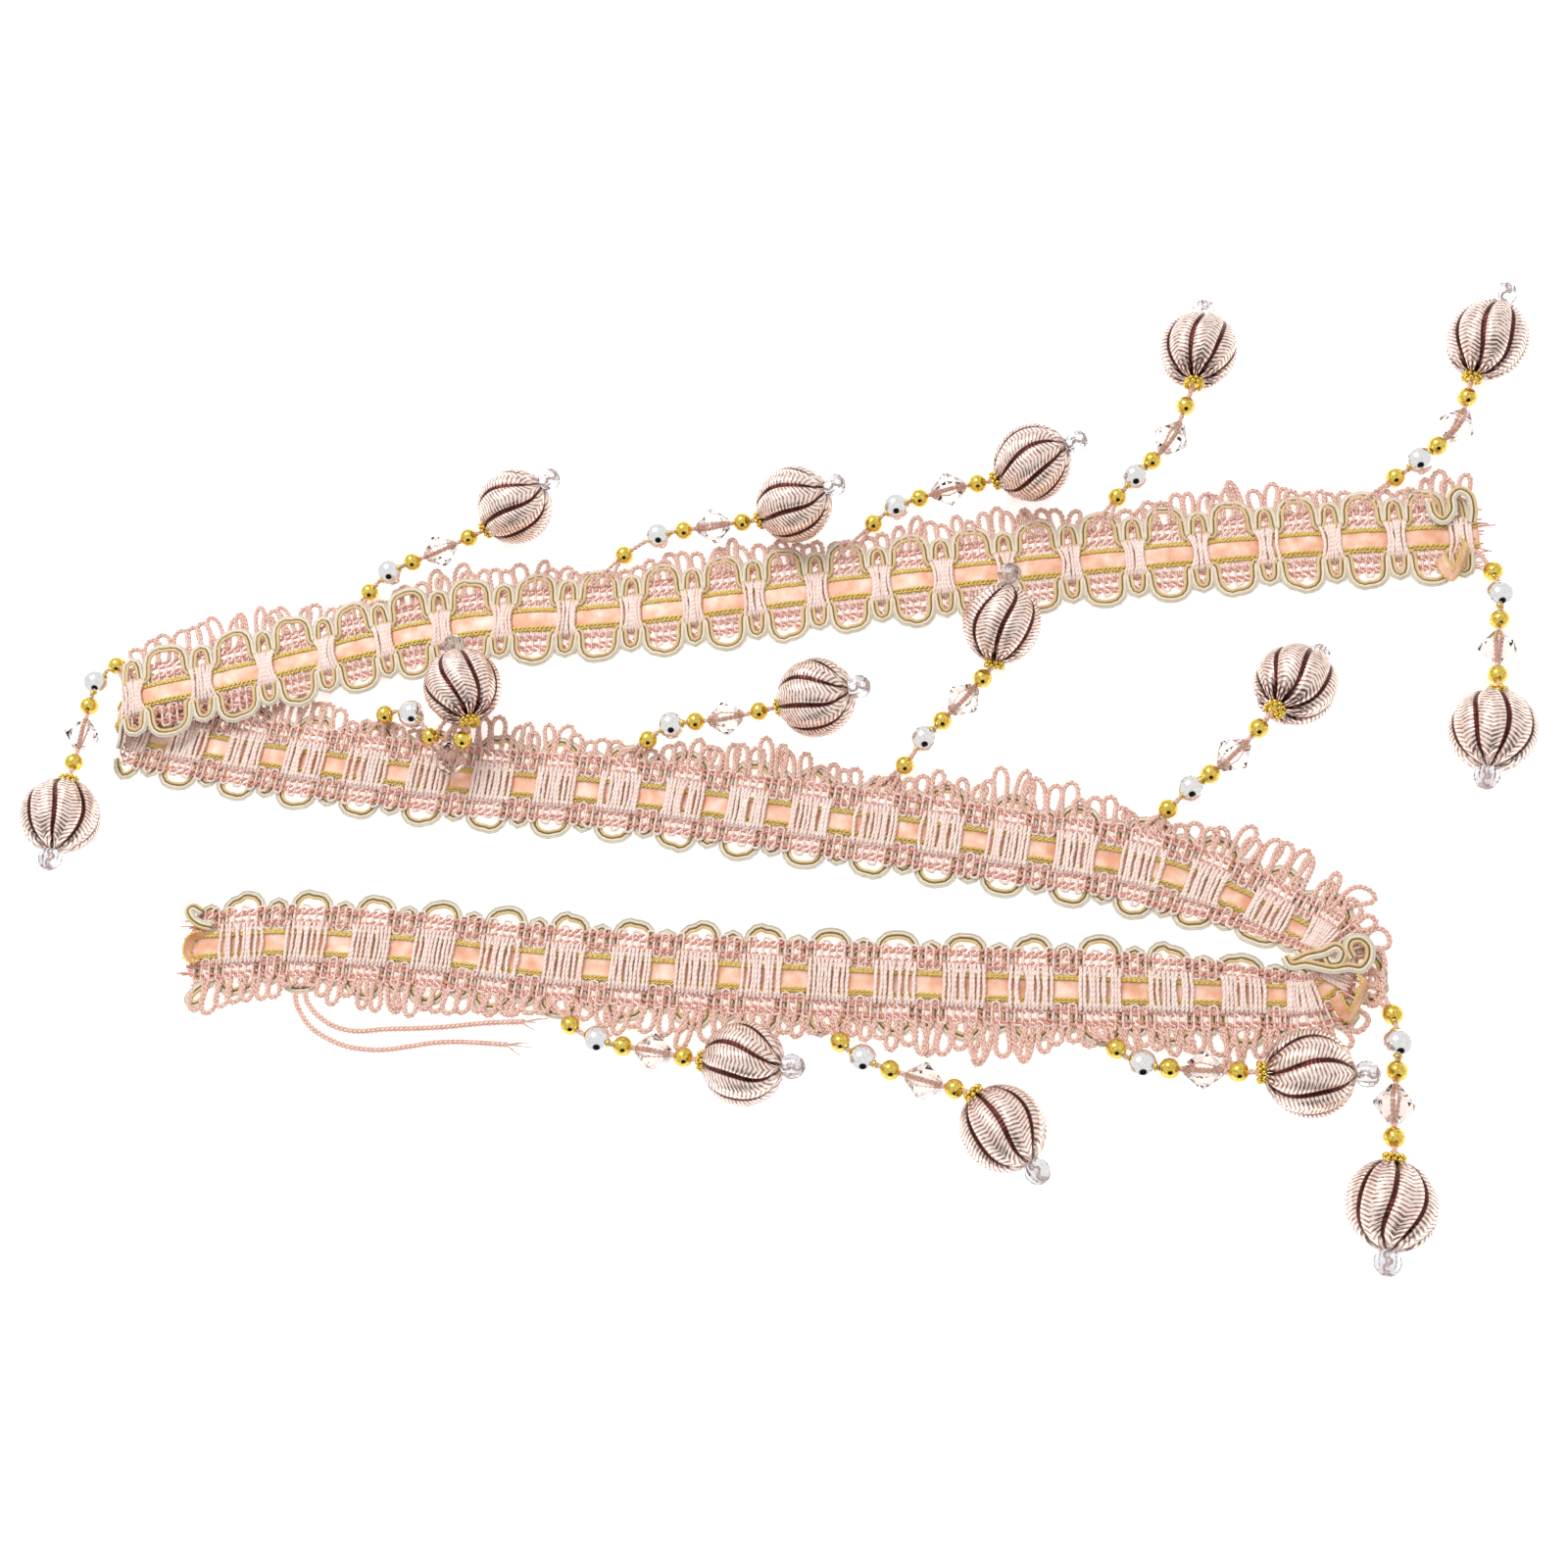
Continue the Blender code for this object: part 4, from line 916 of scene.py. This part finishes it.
def makeCap(pile, spot, neck):
    # spacer cap: a hub with two rings of small pearls
    addTurned(pile, spot, neck, cap["hub"], cap["hubSides"])
    across, upward = squareTo(neck)
    for side in (-1, 1):
        for i in range(cap["pearls"]):
            turn = 2 * math.pi * (i + cap["stagger"] * side) / cap["pearls"]
            out = across * math.cos(turn) + upward * math.sin(turn)
            addTurned(pile, spot + out * cap["radius"] + neck * side * cap["half"], neck,
                      beadProfile(cap["pearl"], cap["pearlHole"], 5, 0.1), cap["pearlSides"])


def makeBeads():
    for number, row in enumerate(droppers, 1):
        line, root, neck, capSpot = dropperLine(row)
        gold, silver, crystal, yarn = newPile(), newPile(), newPile(), newPile()
        for key, kind in bead["keys"]:
            spot = line(key)[0]
            along = unit(line(key + 0.05)[0] - line(key - 0.05)[0])
            if kind == "gold":
                addTurned(gold, spot, along, beadProfile(bead["gold"], bead["goldHole"]), bead["goldSides"])
            elif kind == "silver":
                profile = beadProfile(bead["silver"], bead["silverHole"], bead["silverRings"])
                addTurned(silver, spot, along, profile, bead["silverSides"])
            else:
                addTurned(crystal, spot, along, bead["facets"], bead["facetSides"], rng.uniform(0, 1))
        makeCap(gold, capSpot, neck)
        # yarn: from the band through the beads to the neck, doubled where it is bare
        bare = line(np.linspace(0.85, 4.0, 60))
        addPlied(yarn, np.concatenate([bare, [capSpot - neck * 0.6]]), *bead["pair"], bead["yarnStep"])
        first = line(1.0)[0]
        k = row[0]
        for leg in (-1, 1):
            if k == runEnd:
                feet = onStrip(k - 0.05, bead["lastRootT"] + leg * bead["lastSpread"], 0.0)
                over = root + np.array((0.6, 0.0, 0.2))
            else:
                legT = bead["foldLegT"] if foldStart < k < foldEnd else bead["legT"]
                feet = onStrip(k + leg * bead["legSpread"], legT, 0.0)
                over = (feet + first) / 2 + np.array((0, 0, 0.4))
            addPlied(yarn, smooth([feet, over, first], 6), *bead["leg"], bead["yarnStep"])
        tag = f"{number:02d}"
        makePiece(f"dropperYarn{tag}", yarn, "rayonYarn", (f"bead_string_{tag}",))
        makePiece(f"goldBeads{tag}", gold, "goldPlate")
        makePiece(f"silverBead{tag}", silver, "silverPlate")
        makePiece(f"bicone{tag}", crystal, "clearAcrylic", smoothed=False)
    print("beads made")


def addBall(pile, centre, neck):
    across, upward = squareTo(neck)
    angle = np.radians(np.linspace(ball["open"], 180 - ball["open"], ball["rings"]))[:, None]
    gore = np.arange(ball["sides"]) / ball["sides"] * ball["gores"]
    away = np.abs(gore % 1 - 0.5) * 2
    spin, twist = rng.uniform(0, 1), rng.uniform(*ball["twist"]) * rng.choice((-1, 1))
    swirl = twist * np.cos(angle) + ball["sway"] * np.sin(3 * angle)
    turn = 2 * math.pi * (gore + spin + swirl) / ball["gores"]
    depth = ball["groove"] + ball["gather"] * (1 - np.sin(angle)) ** 3
    # every other ring stands out by the height of one wind of cord
    winds = ball["ridge"] * (np.arange(ball["rings"]) % 2)[:, None] * (1 - away**4)
    reach = ball["radius"] * (1 - depth * away**4) - ball["ridge"] + winds
    slope = angle + ball["slant"] * away * np.sin(angle)
    out = across * np.cos(turn)[..., None] + upward * np.sin(turn)[..., None]
    rings = centre + neck * (np.cos(slope) * reach)[..., None] + out * (np.sin(slope) * reach)[..., None]
    addRings(pile, rings[None], ball["gores"])


def makeBalls():
    angles = np.radians(np.linspace(162, 18, 7))
    rows = [(clearBead["radius"] * math.cos(a), clearBead["radius"] * math.sin(a)) for a in angles]
    swirl = np.linspace(0, 1, 40)
    for number, row in enumerate(droppers, 1):
        neck = direction(row[5], row[6])
        centre = placed(*row[4])
        wound, clear, knot = newPile(), newPile(), newPile()
        addBall(wound, centre, neck)
        spot = centre - neck * clearBead["centre"]
        addTurned(clear, spot, -neck, rows, clearBead["sides"])
        across, upward = squareTo(neck)
        turn, wide = clearBead["knotTurn"] * swirl, clearBead["knotWide"]
        path = spot + neck * (clearBead["knotHalf"] * (1 - 2 * swirl))[:, None]
        path = path + across * (wide * np.cos(turn))[:, None] + upward * (wide * np.sin(turn))[:, None]
        addTubes(knot, path, clearBead["knotRadius"], 5)
        tag = f"{number:02d}"
        makePiece(f"cordBall{tag}", wound, "metallisedCord", (f"lantern_ball_{tag}",))
        makePiece(f"clearBead{tag}", clear, "crackedAcrylic", (f"end_bead_{tag}",),
                  smoothed=False)
        makePiece(f"endKnot{tag}", knot, "rayonWeft")
    print("balls made")


# Loop fringe: short loops beside a dropper, long ones midway between two
fringe = {
    "feet": (-0.4, -0.2, 0.0, 0.2, 0.4),
    "footSpread": 0.02,
    # share of the reach, share of the width: out and back
    "outline": ((0.0, 0.40), (0.16, 0.44), (0.38, 0.54), (0.62, 0.62), (0.8, 0.58), (0.93, 0.36),
                (0.985, 0.0), (0.93, -0.36), (0.8, -0.58), (0.62, -0.62), (0.38, -0.54),
                (0.16, -0.44), (0.0, -0.40)),
    "width": 0.145,
    "widths": (0.8, 1.25),
    "root": 8.6,
    "short": 2.2,
    "long": 7.2,
    "sizes": (0.6, 1.3),
    "every": 4,
    "phase": 2.0,
    # ply radius, offset and lay
    "yarn": (0.43, 0.4, 2.3),
    "yarnStep": 0.6,
    "spread": 0.2,
    "lift": 1.0,
    "lying": 0.95,
    "clear": 0.9,
    "drawIn": 0.72,
    "straighten": 0.8,
    # height over the surface from which a loop counts as raised
    "raised": 2.6,
    "nodes": {"Front": (runStart, 16.6, "loop_fringe_front"), "Turn": (16.6, 19.6, "loop_fringe_turn"),
              "Middle": (19.6, foldStart - 0.1, "loop_fringe_middle"),
              "Top": (foldEnd + 0.1, runEnd, "loop_fringe_top")},
}


def obstacles():
    spots = []
    for row in droppers:
        line, _, neck, _ = dropperLine(row)
        spots.append((placed(*row[4]), ball["radius"]))
        spots.append((placed(*row[4]) - neck * clearBead["centre"], clearBead["radius"]))
        spots += [(line(key)[0], bead[kind]) for key, kind in bead["keys"]]
        spots.append((line(4.0)[0], 2.8))
    for route in tails["routes"]:
        spots += [(placed(x, y, 0.9), 0.9) for x, y in smooth([(x, y) for x, y in route], 4)]
    return np.array([s for s, _ in spots]), np.array([r for _, r in spots])


def loopPath(k, reach, lean, width, lift):
    outline = np.array(fringe["outline"])
    t = fringe["root"] + (reach + 1.6) * outline[:, 0]
    keys = k + fringe["width"] * width * outline[:, 1] + lean * reach * outline[:, 0] / layout["pitch"]
    path = onStrip(keys, t, -0.1)
    # a loop near the surface lies nearly flat on it, and a raised one keeps the braid's height
    lying = fringe["lying"] + lift * outline[:, 0] * 1.2
    path[:, 2] = np.where(path[:, 2] < fringe["raised"], lying, path[:, 2])
    return smooth(path, 4)


def makeFringe():
    spots, radii = obstacles()
    for run, (start, end, node) in fringe["nodes"].items():
        pile = newPile()
        for number in range(math.floor(start) - 1, math.ceil(end) + 1):
            for foot in fringe["feet"]:
                k = number + foot + rng.normal(0, fringe["footSpread"])
                lean = rng.normal(0, fringe["spread"])
                size = rng.uniform(*fringe["sizes"])
                width = rng.uniform(*fringe["widths"])
                lift = rng.uniform(0, fringe["lift"])
                if not start + 0.06 < k < end - 0.06:
                    continue
                spacings = (k - fringe["phase"]) / fringe["every"]
                away = math.sin(math.pi * abs(spacings - round(spacings)))
                reach = (fringe["short"] + (fringe["long"] - fringe["short"]) * away) * size
                # a loop that would touch a bead, ball or tail is drawn in until it is clear
                for _ in range(8):
                    path = loopPath(k, reach, lean, width, lift)
                    gap = np.linalg.norm(path[:, None] - spots[None], axis=-1) - radii
                    if gap.min() > fringe["clear"]:
                        break
                    reach *= fringe["drawIn"]
                    lean *= fringe["straighten"]
                addPlied(pile, path, *fringe["yarn"], fringe["yarnStep"])
        makePiece(f"fringeLoops{run}", pile, "rayonYarn", (node,))
    print("fringe made")


# Two bare tails of the stringing yarn, limp, each lying loose on the table and cut bare
tails = {
    "routes": (
        ((-119.0, -55.5), (-118.2, -57.9), (-114.8, -61.3), (-109.9, -64.0), (-103.9, -65.0),
         (-96.4, -64.3), (-89.1, -64.0), (-81.8, -63.5), (-71.0, -62.3), (-61.6, -61.8)),
        ((-121.6, -55.5), (-120.9, -58.6), (-116.9, -63.8), (-111.1, -67.2), (-104.9, -69.1),
         (-97.3, -69.5), (-90.1, -68.5), (-84.2, -67.5), (-76.9, -67.1), (-65.1, -67.5)),
    ),
    # metres
    "lengths": (0.062, 0.061),
    "diameter": 0.0017,
    "height": 0.93,
    # ply radius, offset and lay
    "ply": (0.42, 0.4, 2.4),
    "strands": 7,
    "strandRadius": 0.14,
    "strandLengths": (2.0, 4.2),
    "strandSpread": 0.35,
}


def makeTails():
    for number, route in enumerate(tails["routes"], 1):
        path = smooth([placed(x, y, tails["height"]) for x, y in route], 6)
        pile, ends = newPile(), newPile()
        addPlied(pile, path, *tails["ply"], 0.4, sides=6)
        piece = makePiece(f"yarnTail{number}", pile, "rayonYarn", (f"yarn_tail_{number}",))
        along = unit(path[-1] - path[-3])
        for _ in range(tails["strands"]):
            swing = rng.normal(0, tails["strandSpread"], 3) * (1, 1, 0.25)
            tip = path[-1] + (along + swing) * rng.uniform(*tails["strandLengths"])
            strand = smooth([path[-1] - along * 0.6, (path[-1] + tip) / 2 + swing * 0.5, tip], 4)
            addTubes(ends, strand, tails["strandRadius"], 4)
        fray = makePiece(f"tailFray{number}", ends, "rayonYarn")
    print("tails made")


# Loose ends: frayed yarn, gimp that springs free in curls, and ribbon that buckles or curls up
cutEnds = {"fibres": 34, "half": 9.5, "radius": 0.2, "reach": 3.4, "spread": 0.45}
looseGimp = {
    "Turn": (
        ((121.4, -44.7, 3.2), (125.0, -43.1, 4.0), (128.6, -42.3, 4.6), (131.3, -41.1, 5.2),
         (133.0, -42.5, 5.2), (132.2, -44.8, 4.8), (130.2, -45.1, 4.4), (129.4, -43.5, 4.0)),
        ((120.3, -43.2, 3.0), (121.5, -45.3, 3.6), (124.6, -45.0, 4.0), (127.6, -45.7, 4.4),
         (130.6, -46.3, 4.6), (133.9, -45.8, 4.8), (136.8, -46.0, 4.6), (138.6, -43.9, 4.6),
         (138.8, -41.1, 4.8), (137.1, -39.5, 5.2), (134.9, -39.8, 5.4), (134.2, -41.7, 5.2),
         (135.2, -43.7, 4.6)),
    ),
    "Right": (
        ((160.6, 73.4, 2.2), (161.2, 70.0, 2.6), (163.2, 68.2, 3.0), (165.2, 70.6, 3.4), (165.3, 74.2, 3.6),
         (167.4, 76.2, 3.6), (169.9, 74.7, 3.4), (170.6, 71.0, 3.0), (170.2, 67.6, 2.4)),
    ),
    "Left": (
        ((-146.0, -39.4, 2.4), (-148.7, -38.9, 3.0), (-151.1, -37.4, 3.4), (-152.3, -35.3, 3.4),
         (-151.1, -34.2, 3.2), (-148.8, -35.3, 2.6)),
        ((-146.1, -54.0, 1.4), (-147.9, -55.5, 1.4), (-149.5, -57.6, 1.4), (-148.2, -59.1, 1.3),
         (-145.9, -58.2, 1.3)),
    ),
}
# path of the lower edge, width left to see, and how far the upper edge leans over
ribbonCurls = {
    "Turn": (((130.3, -52.8, 2.4), (131.6, -56.2, 2.6), (133.7, -58.2, 2.8), (135.5, -56.3, 2.8),
              (137.0, -52.6, 2.8), (138.2, -49.0, 2.6), (137.0, -46.9, 2.4)), 3.4, -1.6),
    "Right": (((160.7, 57.4, 2.2), (162.0, 53.9, 2.4), (164.1, 51.9, 2.6), (165.9, 53.8, 2.6),
               (167.4, 57.5, 2.6), (168.6, 61.1, 2.4), (167.4, 63.2, 2.2)), 3.4, -1.6),
    "Left": (((-147.6, -41.6, 1.6), (-149.8, -42.0, 1.6), (-150.9, -43.6, 1.6), (-151.0, -45.8, 1.6),
              (-149.9, -47.6, 1.6), (-148.0, -48.0, 1.6)), 2.0, 0.9),
}


def makeCurls():
    for name, paths in looseGimp.items():
        piles = {kind: newPile() for _, _, kind, _ in gimp["strands"]}
        for points in paths:
            centre = smooth([placed(*point) for point in points], 7)
            outward = unit(np.cross(unit(np.gradient(centre, axis=0)), (0.0, 0.0, 1.0)))
            for offset, radius, kind, _ in gimp["strands"]:
                addTubes(piles[kind], centre + outward * offset, radius, gimp["sides"])
        for kind, pile in piles.items():
            makePiece(f"loose{kind[0].upper()}{kind[1:]}{name}", pile, kind)
    for name, (points, width, lean) in ribbonCurls.items():
        low = smooth([placed(*point) for point in points], 8)
        side = unit(np.cross(unit(np.gradient(low, axis=0)), (0.0, 0.0, 1.0)))
        high = low + (0.0, 0.0, width) + side * lean
        thick = side * ribbon["thick"]
        rings = np.stack([low - thick, low + thick, high + thick, high - thick], 1)
        pile, edging = newPile(), newPile()
        addRings(pile, rings[None])
        makePiece(f"ribbonCurl{name}", pile, "satinRibbon", smoothed=False)
        for line in (low, high):
            addPlied(edging, line, 0.22, 0.18, 2.4, 0.55)
        makePiece(f"lurexCurl{name}", edging, "goldLurex")
    print("loose ends made")


def makeCutEnds():
    for name, k, way in (("Left", runStart, -1), ("Right", runEnd, 1)):
        pile = newPile()
        for _ in range(cutEnds["fibres"]):
            t = rng.uniform(-cutEnds["half"], cutEnds["half"])
            n = rng.uniform(-0.6, 0.4)
            base = onStrip(k - way * 0.03, t, n)
            ahead = unit(onStrip(k + way * 0.05, t, n) - onStrip(k - way * 0.05, t, n))
            swing = rng.normal(0, cutEnds["spread"], 3) * (1, 1, 0.5)
            tip = base + (ahead + swing) * rng.uniform(0.4, 1.0) * cutEnds["reach"]
            addTubes(pile, smooth([base, (base + tip) / 2 + swing * 0.6, tip], 4), cutEnds["radius"], 4)
        # the frayed fibres take the stitches' darker copy of the rayon, which is painted shade
        makePiece(f"frayedEnd{name}", pile, "rayonStitchShaded")
    print("cut ends made")


# Studio: white sweep, white tent, and the dark gap in front of it that the mirrored beads show.
# Places and sizes are in metres here
studio = {
    "darkWay": (0.102, -0.891, 0.443),
    "darkFrom": 30.0,
    "darkTo": 19.0,
    "tentTones": ("#FFFFFF", "#1A1A1C"),
    "tent": 0.86,
    "key": {"place": (-0.35, 0.5, 0.9), "size": 0.5, "power": 5.0},
    "floor": {"size": 6.0, "tone": "#FAFAFA", "roughness": 0.9, "glow": 0.5, "drop": -0.0004},
}


def makeTent():
    world = bpy.data.worlds.new("whiteTent")
    world.use_nodes = True
    scene.world = world
    tree = world.node_tree
    sky = addNode(tree, "ShaderNodeTexCoord")
    facing = addNode(tree, "ShaderNodeVectorMath", {"operation": "DOT_PRODUCT", 1: studio["darkWay"]},
                     {0: sky.outputs["Generated"]})
    edge, heart = (math.cos(math.radians(studio[name])) for name in ("darkFrom", "darkTo"))
    gap = addNode(tree, "ShaderNodeMapRange",
                  {"From Min": edge, "From Max": heart, "interpolation_type": "SMOOTHSTEP"},
                  {"Value": facing.outputs["Value"]})
    white, dark = studio["tentTones"]
    tone = addNode(tree, "ShaderNodeMix", {"data_type": "RGBA", 6: white, 7: dark}, {0: gap.outputs[0]})
    background = tree.nodes["Background"]
    background.inputs["Strength"].default_value = studio["tent"]
    tree.links.new(tone.outputs[2], background.inputs["Color"])


def makeStudio():
    # the photograph's colours are shown as they are, so no film curve greys the white sweep
    scene.view_settings.view_transform = "Standard"
    makeTent()
    key = studio["key"]
    data = bpy.data.lights.new("softBox", "AREA")
    data.shape, data.size, data.energy = "SQUARE", key["size"], key["power"]
    light = bpy.data.objects.new("softBox", data)
    aim = -unit(np.array(key["place"]))
    side = unit(np.cross(aim, (0.0, 0.0, 1.0)))
    facing = Matrix(np.stack([side, np.cross(side, aim), -aim]).T.tolist()).to_4x4()
    light.matrix_world = Matrix.Translation(key["place"]) @ facing
    scene.collection.objects.link(light)
    paper = studio["floor"]
    half = paper["size"] / 2
    mesh = bpy.data.meshes.new("sweep")
    corners = [(-half, -half, 0), (half, -half, 0), (half, half, 0), (-half, half, 0)]
    mesh.from_pydata(corners, [], [(0, 1, 2, 3)])
    material, _, _ = newMaterial("paperSweep", Base_Color=paper["tone"], Roughness=paper["roughness"],
                                 Emission_Color="#FFFFFF", Emission_Strength=paper["glow"])
    mesh.materials.append(material)
    floor = bpy.data.objects.new("sweep", mesh)
    floor.location.z = paper["drop"]
    scene.collection.objects.link(floor)


makeCamera()
makeStudio()
makeTails()
makeGimp()
makeKnit()
makeCrossings()
makeRibbon()
makeBeads()
makeBalls()
makeFringe()
makeCutEnds()
makeCurls()

largest = sorted(pieceSizes.items(), key=lambda item: -item[1])[:6]
print("triangles:", sum(pieceSizes.values()), "largest:", largest)
